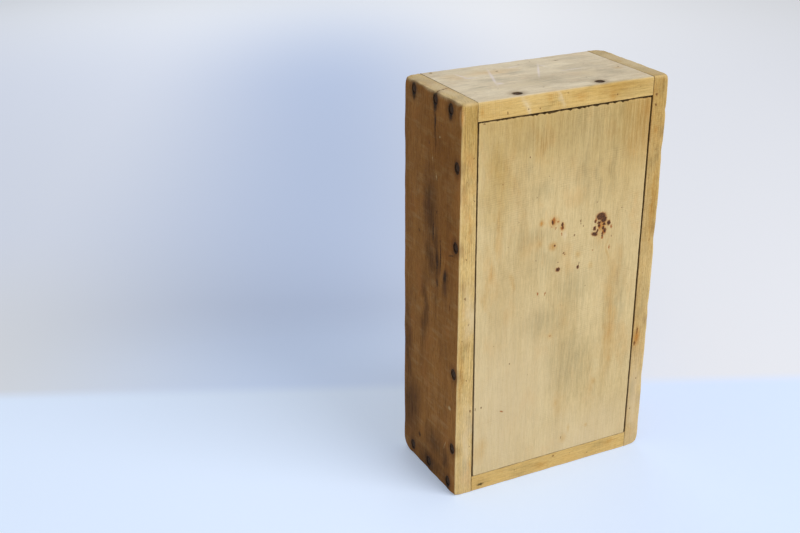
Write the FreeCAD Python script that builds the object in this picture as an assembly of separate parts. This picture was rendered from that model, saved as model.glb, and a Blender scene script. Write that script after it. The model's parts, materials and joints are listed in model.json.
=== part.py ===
"""Antique candle box: four nailed boards, a nailed inset bottom and an inset lid that turns on two wire pins.

Millimetres. The box stands on its lower end, as it does when it is stored. The origin is the middle of the
lower end's face, +Z runs up the box, +X to the right, the nailed bottom faces -Y and the lid faces +Y.
"""

import FreeCAD
import Part
import math
import os
from FreeCAD import Vector

# Overall size
box_height = 300.0
box_width = 166.4
box_depth = 82.4

# Boards. The left side board was sawn thicker at its lower end.
left_side_lower_thickness = 14.4
left_side_upper_thickness = 12.2
right_side_thickness = 13.0
upper_end_thickness = 13.6
lower_end_thickness = 13.4
bottom_thickness = 10.0
lid_thickness = 7.6

# Gaps round the bottom, which stands on the lower end board
bottom_left_gap = 0.7
bottom_right_gap = 1.0
bottom_upper_gap = 0.5

# Gaps round the lid, and how far its face lies below the rim
lid_hinge_gap = 0.6
lid_free_gap = 1.2
lid_end_gap = 1.0
lid_setback = 0.3

# Half-moon thumb notch in the lid's free edge
notch_width = 27.0
notch_depth = 8.0
notch_height_share = 0.5

# Radii that handling has worn on the outside of the box, one for each edge
front_left_wear = 1.0
front_right_wear = 1.4
back_left_wear = 2.4
back_right_wear = 1.8
upper_front_wear = 1.3
upper_back_wear = 2.0
upper_left_wear = 1.6
upper_right_wear = 1.8
lower_front_wear = 1.0
lower_back_wear = 1.4
lower_left_wear = 1.9
lower_right_wear = 4.0

# Radii on the arrises of the rim, the bottom and the lid
rim_wear = 0.8
bottom_wear = 0.5
lid_wear = 0.9
notch_wear = 1.2

# Wire nails through the sides and the ends
nail_length = 38.0
nail_shank_diameter = 2.5
nail_head_diameter = 5.8
nail_head_rim = 0.7
nail_head_chamfer = 0.5
nail_point_length = 4.5
nail_sink = 0.4

# Wire pins that the lid turns on, driven through the end boards
pin_length = 36.0
pin_diameter = 2.4
pin_point_length = 3.0
pin_sink = 0.3
pin_head_chamfer = 0.3

# Blocks that stop the lid flush, one on each end board, and their brads
stop_length = 66.0
stop_width = 8.5
stop_height = 9.0
stop_chamfer = 4.0
stop_side_gap = 1.5
lid_seat_gap = 0.3
brad_length = 13.0
brad_diameter = 1.5
brad_point_length = 2.0
brad_sink = 0.3
brad_chamfer = 0.2

# Flat sides round each nail and brad, of which the box has many
fastener_sides = 12

# Clearances
driven_fit = 0.05
pin_running_fit = 0.1
bore_end_room = 1.0
overrun = 5.0

# Places of the nails as shares of the height, of the depth from the front, and of the end board's thickness
left_bottom_nail_shares = (0.129, 0.335, 0.660, 0.851)
right_bottom_nail_shares = (0.140, 0.365, 0.615, 0.862)
left_upper_corner_shares = ((0.177, 0.515), (0.438, 0.405), (0.815, 0.430))
left_lower_corner_shares = ((0.129, 0.570), (0.495, 0.590), (0.805, 0.650))
right_upper_corner_shares = ((0.155, 0.600), (0.480, 0.640), (0.880, 0.560))
right_lower_corner_shares = ((0.165, 0.560), (0.530, 0.610), (0.880, 0.580))
brad_length_shares = (0.2, 0.8)

# How deep in the bottom's thickness the nails of the sides and of the ends stand
side_nail_depth_share = 0.5
end_nail_depth_share = 0.7

# How far the nails in the end boards stand from the points of the nails in each side board
upper_nail_left_spacing = 8.2
upper_nail_right_spacing = 16.1
lower_nail_left_spacing = 9.0
lower_nail_right_spacing = 10.5

# Faces and lines that several pieces share
left_face = -box_width / 2
right_face = box_width / 2
front_face = -box_depth / 2
back_face = box_depth / 2
right_inner = right_face - right_side_thickness
lower_inner = lower_end_thickness
upper_inner = box_height - upper_end_thickness
bottom_inner = front_face + bottom_thickness
side_nail_depth = front_face + bottom_thickness * side_nail_depth_share
end_nail_depth = front_face + bottom_thickness * end_nail_depth_share
lid_outer = back_face - lid_setback
lid_inner = lid_outer - lid_thickness
lid_middle = lid_outer - lid_thickness / 2
left_thickest = max(left_side_lower_thickness, left_side_upper_thickness)
pivot_x = left_face + left_thickest + lid_hinge_gap + lid_thickness / 2
lid_free_edge = right_inner - lid_free_gap
lid_lower_edge = lower_inner + lid_end_gap
lid_upper_edge = upper_inner - lid_end_gap

into_right = Vector(1, 0, 0)
into_left = Vector(-1, 0, 0)
upwards = Vector(0, 0, 1)
downwards = Vector(0, 0, -1)


def left_inner(height):
    """The X of the left side board's tapered inner face at a height."""
    taper = (left_side_upper_thickness - left_side_lower_thickness) / box_height
    return left_face + left_side_lower_thickness + taper * height


def plate(outline, front, back):
    """A board whose outline is a list of (x, z) points, from the Y of its front to the Y of its back."""
    points = [Vector(x, front, z) for x, z in outline]
    face = Part.Face(Part.makePolygon(points + points[:1]))
    return face.extrude(Vector(0, back - front, 0))


def edge_near(shape, *point):
    """The edge of a shape whose middle lies nearest to a point."""
    return min(shape.Edges, key=lambda edge: edge.CenterOfMass.distanceToPoint(Vector(*point)))


def rounded(shape, radius, points):
    """A shape with one radius on the edges whose middles lie at the points."""
    return shape.makeFillet(radius, [edge_near(shape, *point) for point in points])


def placed(shape, point, direction):
    """A shape drawn along +Z from the origin, moved to a point and turned to a direction."""
    turn = FreeCAD.Rotation(upwards, direction)
    return shape.transformed(FreeCAD.Placement(point, turn).toMatrix())


def turned(profile):
    """A solid turned about Z from a list of (radius, height) points."""
    points = [Vector(radius, 0, height) for radius, height in profile]
    face = Part.Face(Part.makePolygon(points + points[:1]))
    return face.revolve(Vector(0, 0, 0), upwards, 360)


def worn_block(wear):
    """A block of the box's overall size with its own radius on each of four edges that run alike."""
    block = Part.makeBox(box_width, box_depth, box_height, Vector(left_face, front_face, 0))
    for radius, point in wear:
        block = rounded(block, radius, [point])
    return block


def worn_envelope():
    """The outside of the whole box, where each edge is worn to its own radius."""
    middle = box_height / 2
    upright_edges = (
        (front_left_wear, (left_face, front_face, middle)),
        (front_right_wear, (right_face, front_face, middle)),
        (back_left_wear, (left_face, back_face, middle)),
        (back_right_wear, (right_face, back_face, middle)),
    )
    crosswise_edges = (
        (upper_front_wear, (0, front_face, box_height)),
        (upper_back_wear, (0, back_face, box_height)),
        (lower_front_wear, (0, front_face, 0)),
        (lower_back_wear, (0, back_face, 0)),
    )
    depthwise_edges = (
        (upper_left_wear, (left_face, 0, box_height)),
        (upper_right_wear, (right_face, 0, box_height)),
        (lower_left_wear, (left_face, 0, 0)),
        (lower_right_wear, (right_face, 0, 0)),
    )
    upright, crosswise, depthwise = (
        worn_block(wear) for wear in (upright_edges, crosswise_edges, depthwise_edges)
    )
    return upright.common(crosswise).common(depthwise)


def left_side():
    """The left side board, tapered in thickness over its length."""
    board = plate(
        [(left_face, 0), (left_inner(0), 0), (left_inner(box_height), box_height), (left_face, box_height)],
        front_face,
        back_face,
    )
    middle = box_height / 2
    return rounded(board, rim_wear, [(left_inner(middle), back_face, middle)])


def right_side():
    """The right side board."""
    board = plate(
        [(right_inner, 0), (right_face, 0), (right_face, box_height), (right_inner, box_height)],
        front_face,
        back_face,
    )
    return rounded(board, rim_wear, [(right_inner, back_face, box_height / 2)])


def end_board(lower, upper, inner):
    """An end board between the side boards, from one height to another, with its inner face at a third."""
    board = plate(
        [(left_inner(lower), lower), (right_inner, lower), (right_inner, upper), (left_inner(upper), upper)],
        front_face,
        back_face,
    )
    return rounded(board, rim_wear, [((left_inner(inner) + right_inner) / 2, back_face, inner)])


def bottom_board():
    """The bottom, let in between the four boards and flush with their front edges."""
    low = lower_inner
    high = upper_inner - bottom_upper_gap
    left_low = left_inner(low) + bottom_left_gap
    left_high = left_inner(high) + bottom_left_gap
    right = right_inner - bottom_right_gap
    board = plate([(left_low, low), (right, low), (right, high), (left_high, high)], front_face, bottom_inner)
    return rounded(
        board,
        bottom_wear,
        [
            ((left_low + left_high) / 2, front_face, (low + high) / 2),
            (right, front_face, (low + high) / 2),
            ((left_high + right) / 2, front_face, high),
        ],
    )


def lid():
    """The lid: a thin board with a round hinge edge about the pins, and a thumb notch in its free edge."""
    low, high = lid_lower_edge, lid_upper_edge
    middle = (low + high) / 2
    board = plate([(pivot_x, low), (lid_free_edge, low), (lid_free_edge, high), (pivot_x, high)], lid_inner, lid_outer)
    board = rounded(
        board,
        lid_wear,
        [
            (lid_free_edge, lid_outer, middle),
            (lid_free_edge, lid_inner, middle),
        ],
    )
    hinge_edge = Part.makeCylinder(lid_thickness / 2, high - low, Vector(pivot_x, lid_middle, low))
    board = board.fuse(hinge_edge).removeSplitter()
    radius = (notch_width**2 / 4 + notch_depth**2) / (2 * notch_depth)
    notch_z = low + (high - low) * notch_height_share
    centre = Vector(lid_free_edge + radius - notch_depth, lid_inner - overrun, notch_z)
    notch = Part.makeCylinder(radius, lid_thickness + 2 * overrun, centre, Vector(0, 1, 0))
    return board.cut(notch)


def notch_softened(board):
    """The lid with the outer arris of its thumb notch worn round, where the thumb goes in."""
    notch_z = lid_lower_edge + (lid_upper_edge - lid_lower_edge) * notch_height_share
    return rounded(board, notch_wear, [(lid_free_edge - notch_depth, lid_outer, notch_z)])


def section(radius, height):
    """The many-sided section of a fastener at a height, or its sharp end where the radius is zero."""
    if radius == 0:
        return Part.Vertex(0, 0, height)
    turns = [2 * math.pi * side / fastener_sides for side in range(fastener_sides + 1)]
    return Part.makePolygon([Vector(radius * math.cos(turn), radius * math.sin(turn), height) for turn in turns])


def many_sided(profile):
    """A many-sided solid about Z through (radius, height) points, with a flat shoulder where only the radius steps."""
    spans = [(low, high) for low, high in zip(profile, profile[1:]) if low[1] != high[1]]
    lofts = [Part.makeLoft([section(*low), section(*high)], True, True) for low, high in spans]
    return lofts[0].multiFuse(lofts[1:]).removeSplitter()


def nail():
    """A wire nail with a flat round head, sunk below the surface that it is driven into."""
    head = nail_head_diameter / 2
    shank = nail_shank_diameter / 2
    seat = nail_sink + nail_head_rim
    return many_sided(
        [
            (head - nail_head_chamfer, nail_sink),
            (head, nail_sink + nail_head_chamfer),
            (head, seat),
            (shank, seat),
            (shank, nail_length - nail_point_length),
            (0, nail_length),
        ]
    )


def nail_hole():
    """The room that a nail takes: its sunk head's pocket and its shank's hole."""
    head = nail_head_diameter / 2 + driven_fit
    shank = nail_shank_diameter / 2 + driven_fit
    seat = nail_sink + nail_head_rim
    return many_sided(
        [
            (head, -overrun),
            (head, seat),
            (shank, seat),
            (shank, nail_length - nail_point_length),
            (0, nail_length + driven_fit),
        ]
    )


def brad():
    """A small headless nail with a softened struck end."""
    radius = brad_diameter / 2
    return many_sided(
        [
            (radius - brad_chamfer, brad_sink),
            (radius, brad_sink + brad_chamfer),
            (radius, brad_length - brad_point_length),
            (0, brad_length),
        ]
    )


def brad_hole():
    """The room that a brad takes."""
    radius = brad_diameter / 2 + driven_fit
    return many_sided([(radius, -overrun), (radius, brad_length - brad_point_length), (0, brad_length + driven_fit)])


def lid_pin():
    """A round wire pin with a hammered outer end and a point."""
    radius = pin_diameter / 2
    return turned(
        [
            (0, pin_sink),
            (radius - pin_head_chamfer, pin_sink),
            (radius, pin_sink + pin_head_chamfer),
            (radius, pin_length - pin_point_length),
            (0, pin_length),
        ]
    )


def pin_hole(fit, end_room):
    """A round hole about a wire pin, open at its mouth, with a radial fit and some room past its point."""
    return Part.makeCylinder(pin_diameter / 2 + fit, pin_length + end_room + overrun, Vector(0, 0, -overrun))


def corner_places(side_face, direction, shares, end_face, end_thickness):
    """Where three nails go through a side board into the end grain of an end board."""
    inward = end_thickness if end_face == 0 else -end_thickness
    return [
        (Vector(side_face, front_face + box_depth * depth_share, end_face + inward * height_share), direction)
        for depth_share, height_share in shares
    ]


def side_places(side_face, direction, shares):
    """Where a row of nails goes through a side board into the long edge of the bottom."""
    return [(Vector(side_face, side_nail_depth, box_height * share), direction) for share in shares]


def end_places(end_face, direction, left_spacing, right_spacing):
    """Where two nails go through an end board into the bottom, clear of the side nails' points."""
    return [
        (Vector(left_face + nail_length + left_spacing, end_nail_depth, end_face), direction),
        (Vector(right_face - nail_length - right_spacing, end_nail_depth, end_face), direction),
    ]


def lid_stop(end_inner, direction):
    """A block under the lid's free corner, on an end board's inner face, with its inner end cut at a slant."""
    right = right_inner - stop_side_gap
    left = right - stop_length
    free = end_inner + direction.z * stop_width
    top = lid_inner - lid_seat_gap
    outline = [(left, end_inner), (right, end_inner), (right, free), (left + stop_chamfer, free)]
    return plate(outline, top - stop_height, top)


def brad_places(end_inner, direction):
    """Where the brads go through a lid stop into its end board; they run against the block's direction."""
    left = right_inner - stop_side_gap - stop_length
    middle = lid_inner - lid_seat_gap - stop_height / 2
    surface = end_inner + direction.z * stop_width
    return [(Vector(left + stop_length * share, middle, surface), -direction) for share in brad_length_shares]


def placed_all(shape, places):
    """Copies of a shape at a list of (point, direction) places."""
    return [placed(shape, point, direction) for point, direction in places]


def bored(board, tools):
    """A board with the room of several fasteners cut out."""
    return board.cut(Part.makeCompound(tools))


def save(name, *solids):
    """Writes one piece, or a group of alike pieces, to its STEP file."""
    shape = solids[0] if len(solids) == 1 else Part.makeCompound(list(solids))
    shape.exportStep(f"parts/{name}.step")


def build():
    """Makes every piece of the box and writes it."""
    os.makedirs("parts", exist_ok=True)

    nail_groups = {
        "left_upper_corner_nails": corner_places(
            left_face, into_right, left_upper_corner_shares, box_height, upper_end_thickness
        ),
        "left_lower_corner_nails": corner_places(
            left_face, into_right, left_lower_corner_shares, 0, lower_end_thickness
        ),
        "right_upper_corner_nails": corner_places(
            right_face, into_left, right_upper_corner_shares, box_height, upper_end_thickness
        ),
        "right_lower_corner_nails": corner_places(
            right_face, into_left, right_lower_corner_shares, 0, lower_end_thickness
        ),
        "left_bottom_nails": side_places(left_face, into_right, left_bottom_nail_shares),
        "right_bottom_nails": side_places(right_face, into_left, right_bottom_nail_shares),
        "upper_bottom_nails": end_places(
            box_height, downwards, upper_nail_left_spacing, upper_nail_right_spacing
        ),
        "lower_bottom_nails": end_places(0, upwards, lower_nail_left_spacing, lower_nail_right_spacing),
    }
    nail_room = {name: placed_all(nail_hole(), places) for name, places in nail_groups.items()}

    def room(word):
        """The holes of every nail group whose name has a word."""
        return [tool for name, tools in nail_room.items() if word in name for tool in tools]

    pin_places = {
        "upper": (Vector(pivot_x, lid_middle, box_height), downwards),
        "lower": (Vector(pivot_x, lid_middle, 0), upwards),
    }
    pin_room = {name: placed(pin_hole(driven_fit, 0), *place) for name, place in pin_places.items()}
    lid_bores = [placed(pin_hole(pin_running_fit, bore_end_room), *place) for place in pin_places.values()]

    stop_places = {"upper": (upper_inner, downwards), "lower": (lower_inner, upwards)}
    brads = {name: brad_places(*place) for name, place in stop_places.items()}
    brad_room = {name: placed_all(brad_hole(), places) for name, places in brads.items()}

    worn = worn_envelope()
    boards = {
        "left_side_board": (left_side(), room("left")),
        "right_side_board": (right_side(), room("right")),
        "upper_end_board": (
            end_board(upper_inner, box_height, upper_inner),
            room("upper") + [pin_room["upper"]] + brad_room["upper"],
        ),
        "lower_end_board": (
            end_board(0, lower_inner, lower_inner),
            room("lower") + [pin_room["lower"]] + brad_room["lower"],
        ),
        "bottom_panel": (bottom_board(), room("bottom")),
    }
    for name, (board, tools) in boards.items():
        save(name, bored(board.common(worn), tools))

    save("lid_board", notch_softened(bored(lid(), lid_bores)))
    for name, place in stop_places.items():
        save(f"{name}_lid_stop", bored(lid_stop(*place), brad_room[name]))
        save(f"{name}_stop_brads", *placed_all(brad(), brads[name]))
        save(f"{name}_lid_pin", placed(lid_pin(), *pin_places[name]))
    for name, places in nail_groups.items():
        save(name, *placed_all(nail(), places))


build()
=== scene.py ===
"""The look of an old nailed candle box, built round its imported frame.

Lengths are millimetres, as on the bench, until a finished mesh is scaled to metres. The box stands on its
lower end: +Z runs up it, +X to its right, its nailed bottom looks to -Y and its lid to +Y.
"""

import json
import logging
import math
from dataclasses import dataclass, field
from enum import Enum
from functools import partial

import bmesh
import bpy
import numpy as np
from mathutils import Matrix, Vector

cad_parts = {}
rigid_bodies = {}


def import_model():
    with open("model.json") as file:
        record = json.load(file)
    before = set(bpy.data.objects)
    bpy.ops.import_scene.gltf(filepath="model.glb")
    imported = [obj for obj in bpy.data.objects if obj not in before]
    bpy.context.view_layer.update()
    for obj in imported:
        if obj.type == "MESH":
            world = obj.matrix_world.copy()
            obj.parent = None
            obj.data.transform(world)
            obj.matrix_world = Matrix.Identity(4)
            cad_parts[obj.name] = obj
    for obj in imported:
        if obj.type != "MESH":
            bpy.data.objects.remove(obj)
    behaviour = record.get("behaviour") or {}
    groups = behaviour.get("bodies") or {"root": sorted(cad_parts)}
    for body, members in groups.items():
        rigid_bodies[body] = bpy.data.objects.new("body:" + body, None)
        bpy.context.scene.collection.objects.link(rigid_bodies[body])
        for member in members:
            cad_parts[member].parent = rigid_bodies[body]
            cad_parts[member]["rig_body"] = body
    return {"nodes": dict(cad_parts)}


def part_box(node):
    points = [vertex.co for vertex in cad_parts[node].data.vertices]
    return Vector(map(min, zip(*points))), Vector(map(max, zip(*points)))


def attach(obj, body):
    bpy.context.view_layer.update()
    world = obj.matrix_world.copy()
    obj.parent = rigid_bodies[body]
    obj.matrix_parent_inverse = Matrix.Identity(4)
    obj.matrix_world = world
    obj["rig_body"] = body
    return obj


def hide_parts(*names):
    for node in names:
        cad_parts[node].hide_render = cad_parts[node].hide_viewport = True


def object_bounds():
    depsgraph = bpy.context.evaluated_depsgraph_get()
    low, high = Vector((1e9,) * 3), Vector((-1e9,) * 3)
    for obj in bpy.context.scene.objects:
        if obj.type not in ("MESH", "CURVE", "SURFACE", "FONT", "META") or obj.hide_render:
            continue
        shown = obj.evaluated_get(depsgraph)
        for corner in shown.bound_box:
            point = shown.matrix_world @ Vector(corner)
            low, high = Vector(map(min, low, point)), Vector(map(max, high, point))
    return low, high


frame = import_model()
cad_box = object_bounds()

MM = 0.001
TINY = 1e-9
log = logging.getLogger("candle_box")

Socket = bpy.types.NodeSocket
Node = bpy.types.Node
Value = float | tuple | Socket


class Side(Enum):
    """A face of a squared board: the axis that it is square to, and the way that it looks."""

    LEFT = (0, -1)
    RIGHT = (0, 1)
    FRONT = (1, -1)
    BACK = (1, 1)
    LOWER = (2, -1)
    UPPER = (2, 1)

    @property
    def axis(self) -> int:
        """The axis that the face is square to."""
        return self.value[0]

    @property
    def way(self) -> int:
        """One if the face looks along the axis, and minus one if it looks against it."""
        return self.value[1]

    def outward(self) -> np.ndarray:
        """The unit direction that the face looks in."""
        direction = np.zeros(3)
        direction[self.axis] = self.way
        return direction


class Grain(Enum):
    """The axis that a board's fibres run along."""

    ACROSS = 0
    UPRIGHT = 2

    @property
    def turn(self) -> tuple:
        """The turn that lays the fibres along the local Z of a pattern."""
        return (0.0, -math.pi / 2, 0.0) if self is Grain.ACROSS else (0.0, 0.0, 0.0)


@dataclass(frozen=True)
class Waver:
    """A smooth random unevenness in space, the same on every run."""

    seed: int
    length: float
    waves: int = 28

    def at(self, points: np.ndarray) -> np.ndarray:
        """The unevenness at each point.

        Args:
            points: one row of X, Y and Z for each point, in millimetres.

        Returns:
            One value for each point, about nought and mostly between -2 and 2.
        """
        draw = np.random.default_rng(self.seed)
        ways = draw.normal(size=(self.waves, 3)) * (math.pi / self.length)
        starts = draw.uniform(0, 2 * math.pi, self.waves)
        return np.sin(points @ ways.T + starts).sum(axis=1) / math.sqrt(self.waves / 2)


@dataclass(frozen=True)
class Knock:
    """A dent: its place, how far it spreads, how deep it is and the way that it was struck."""

    place: tuple
    reach: float
    depth: float
    way: tuple

    def press(self, points: np.ndarray) -> np.ndarray:
        """The points with this dent pressed into them."""
        off = np.linalg.norm(points - np.array(self.place), axis=1) / self.reach
        way = np.array(self.way, float) / np.linalg.norm(self.way)
        return points + np.exp(-off * off)[:, None] * way * self.depth


@dataclass(frozen=True)
class Driven:
    """A nail, brad or pin as it was driven: its head's middle, the way that it points and its sizes."""

    head: Vector
    way: Vector
    length: float
    head_radius: float

    def placing(self) -> Matrix:
        """The matrix that takes a shape drawn down +Z from its head to where the fastener is."""
        return Matrix.Translation(self.head) @ self.way.to_track_quat("Z", "X").to_matrix().to_4x4()


def islands(bm: bmesh.types.BMesh) -> list[list[Vector]]:
    """The separate solids of a mesh.

    Args:
        bm: the mesh, with its doubles merged.

    Returns:
        One list of points for each solid.
    """
    waiting = set(bm.verts)
    found = []
    while waiting:
        stack = [waiting.pop()]
        points = []
        while stack:
            vert = stack.pop()
            points.append(vert.co.copy())
            for edge in vert.link_edges:
                other = edge.other_vert(vert)
                if other in waiting:
                    waiting.remove(other)
                    stack.append(other)
        found.append(points)
    return found


def driven_in(node: str) -> list[Driven]:
    """Reads the fasteners of a group off the frame.

    Args:
        node: the name of a group of nails, brads or pins.

    Returns:
        One entry for each fastener, in millimetres, in the order of their places.
    """
    merge_distance = 1e-6
    end_zone = 0.8
    bm = bmesh.new()
    bm.from_mesh(frame["nodes"][node].data)
    bmesh.ops.remove_doubles(bm, verts=bm.verts, dist=merge_distance)
    fasteners = []
    for points in islands(bm):
        cloud = np.array(points) / MM
        low, high = cloud.min(axis=0), cloud.max(axis=0)
        axis = int(np.argmax(high - low))
        middle = (low + high) / 2
        across = np.delete(cloud - middle, axis, axis=1)
        spread = np.linalg.norm(across, axis=1)
        at_low = spread[cloud[:, axis] < low[axis] + end_zone].max()
        at_high = spread[cloud[:, axis] > high[axis] - end_zone].max()
        head, way = middle.copy(), np.zeros(3)
        head[axis] = low[axis] if at_low > at_high else high[axis]
        way[axis] = 1 if at_low > at_high else -1
        fasteners.append(Driven(Vector(head), Vector(way), high[axis] - low[axis], spread.max()))
    bm.free()
    return sorted(fasteners, key=lambda item: tuple(item.head))


def stations(low: float, high: float, fine: float, coarse: float, near: list[float]) -> np.ndarray:
    """Places of the cuts along one side of a board, close together where it is shaped finely.

    Args:
        low: where the side starts.
        high: where it ends.
        fine: the step near the fine places.
        coarse: the step far from them.
        near: the fine places besides the two ends.

    Returns:
        The places, from low to high.
    """
    fade = 3.0
    fine_places = [low, high, *near]
    places = [low]
    while places[-1] < high:
        off = min(abs(places[-1] - place) for place in fine_places)
        places.append(places[-1] + fine + (coarse - fine) * min(off / fade, 1.0))
    stepped = np.array(places)
    return low + (stepped - low) * (high - low) / (stepped[-1] - low)


def cut_cube(cuts: tuple) -> bmesh.types.BMesh:
    """A cube with sides of 1 about the origin, cut across X, Y and Z so many times."""
    half_edge = 0.5
    bm = bmesh.new()
    bmesh.ops.create_cube(bm, size=1.0)
    for axis, count in enumerate(cuts):
        lengths = {edge: abs(edge.verts[0].co[axis] - edge.verts[1].co[axis]) for edge in bm.edges}
        along = [edge for edge, length in lengths.items() if length > half_edge]
        if count:
            bmesh.ops.subdivide_edges(bm, edges=along, cuts=count, use_grid_fill=True)
    return bm


def gridded_block(cuts: list[np.ndarray]) -> bpy.types.Mesh:
    """A closed block, cut into a grid at its stations.

    Args:
        cuts: the stations along X, Y and Z.

    Returns:
        The block's mesh, in millimetres.
    """
    bm = cut_cube(tuple(len(places) - 2 for places in cuts))
    mesh = bpy.data.meshes.new("block")
    bm.to_mesh(mesh)
    bm.free()
    points = points_of(mesh) + 0.5
    for axis, places in enumerate(cuts):
        points[:, axis] = np.interp(points[:, axis], np.linspace(0.0, 1.0, len(places)), places)
    set_points(mesh, points)
    return mesh


def points_of(mesh: bpy.types.Mesh) -> np.ndarray:
    """The places of a mesh's vertices, one row each."""
    flat = np.empty(len(mesh.vertices) * 3)
    mesh.vertices.foreach_get("co", flat)
    return flat.reshape(-1, 3)


def set_points(mesh: bpy.types.Mesh, points: np.ndarray) -> None:
    """Moves a mesh's vertices to new places."""
    mesh.vertices.foreach_set("co", points.astype(np.float32).ravel())
    mesh.update()


def set_values(mesh: bpy.types.Mesh, name: str, values: np.ndarray) -> None:
    """Stores one value for each vertex, which the finish then reads by name."""
    attribute = mesh.attributes.new(name, "FLOAT", "POINT")
    attribute.data.foreach_set("value", values.astype(np.float32))


def spun(profile: list[tuple], steps: int) -> bmesh.types.BMesh:
    """A closed solid, turned about Z.

    Args:
        profile: (radius, height) points, of which the first and the last lie on the axis.
        steps: how many steps make a full turn.

    Returns:
        The solid, with its poles closed and its faces looking outwards.
    """
    merge_distance = 1e-4
    bm = bmesh.new()
    verts = [bm.verts.new((radius, 0.0, height)) for radius, height in profile]
    edges = [bm.edges.new(pair) for pair in zip(verts, verts[1:])]
    bmesh.ops.spin(
        bm, geom=verts + edges, cent=(0, 0, 0), axis=(0, 0, 1), dvec=(0, 0, 0), angle=2 * math.pi,
        steps=steps, use_merge=True, use_duplicate=False,
    )
    bmesh.ops.remove_doubles(bm, verts=bm.verts, dist=merge_distance)
    bmesh.ops.recalc_face_normals(bm, faces=bm.faces)
    return bm


def joined(parts: list[bmesh.types.BMesh], name: str) -> bpy.types.Mesh:
    """One mesh of several separate solids, which are freed."""
    whole = bmesh.new()
    for part in parts:
        loose = bpy.data.meshes.new("loose")
        part.to_mesh(loose)
        part.free()
        whole.from_mesh(loose)
        bpy.data.meshes.remove(loose)
    mesh = bpy.data.meshes.new(name)
    whole.to_mesh(mesh)
    whole.free()
    return mesh


def cut_away(mesh: bpy.types.Mesh, room: bpy.types.Mesh) -> bpy.types.Mesh:
    """Cuts the room of nails, pins, notches and splits out of a piece.

    Args:
        mesh: the piece.
        room: the closed solids to cut out.

    Returns:
        A new mesh, with both of the given ones removed.
    """
    collection = bpy.context.scene.collection
    body, tool = bpy.data.objects.new("work", mesh), bpy.data.objects.new("room", room)
    collection.objects.link(body)
    collection.objects.link(tool)
    cut = body.modifiers.new("cut", "BOOLEAN")
    cut.operation, cut.solver, cut.object = "DIFFERENCE", "MANIFOLD", tool
    result = bpy.data.meshes.new_from_object(body.evaluated_get(bpy.context.evaluated_depsgraph_get()))
    for used in (body, tool):
        bpy.data.objects.remove(used)
    for used in (mesh, room):
        bpy.data.meshes.remove(used)
    return result


def finished(
    mesh: bpy.types.Mesh, node: str, name: str, material: bpy.types.Material
) -> bpy.types.Object:
    """Makes a dressed piece of a finished mesh, on the body that carries the part it stands for.

    Args:
        mesh: the piece's mesh, in millimetres.
        node: the part of the frame that the piece stands for.
        name: the piece's own name.
        material: the piece's finish.

    Returns:
        The piece, in metres.
    """
    smooth_angle = math.radians(38)
    mesh.transform(Matrix.Scale(MM, 4))
    mesh.shade_smooth()
    mesh.set_sharp_from_angle(angle=smooth_angle)
    mesh.name = name
    mesh.materials.clear()
    mesh.materials.append(material)
    piece = bpy.data.objects.new(name, mesh)
    bpy.context.scene.collection.objects.link(piece)
    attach(piece, frame["nodes"][node]["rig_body"])
    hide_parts(node)
    log.info("%s: %d faces", name, len(mesh.polygons))
    return piece


def tint(red: int, green: int, blue: int) -> tuple:
    """A colour in linear light from its usual 0 to 255 values."""
    knee, slope, foot, power = 0.04045, 12.92, 0.055, 2.4
    shares = [value / 255 for value in (red, green, blue)]
    return tuple(
        share / slope if share <= knee else ((share + foot) / (1 + foot)) ** power for share in shares
    ) + (1.0,)


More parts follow.
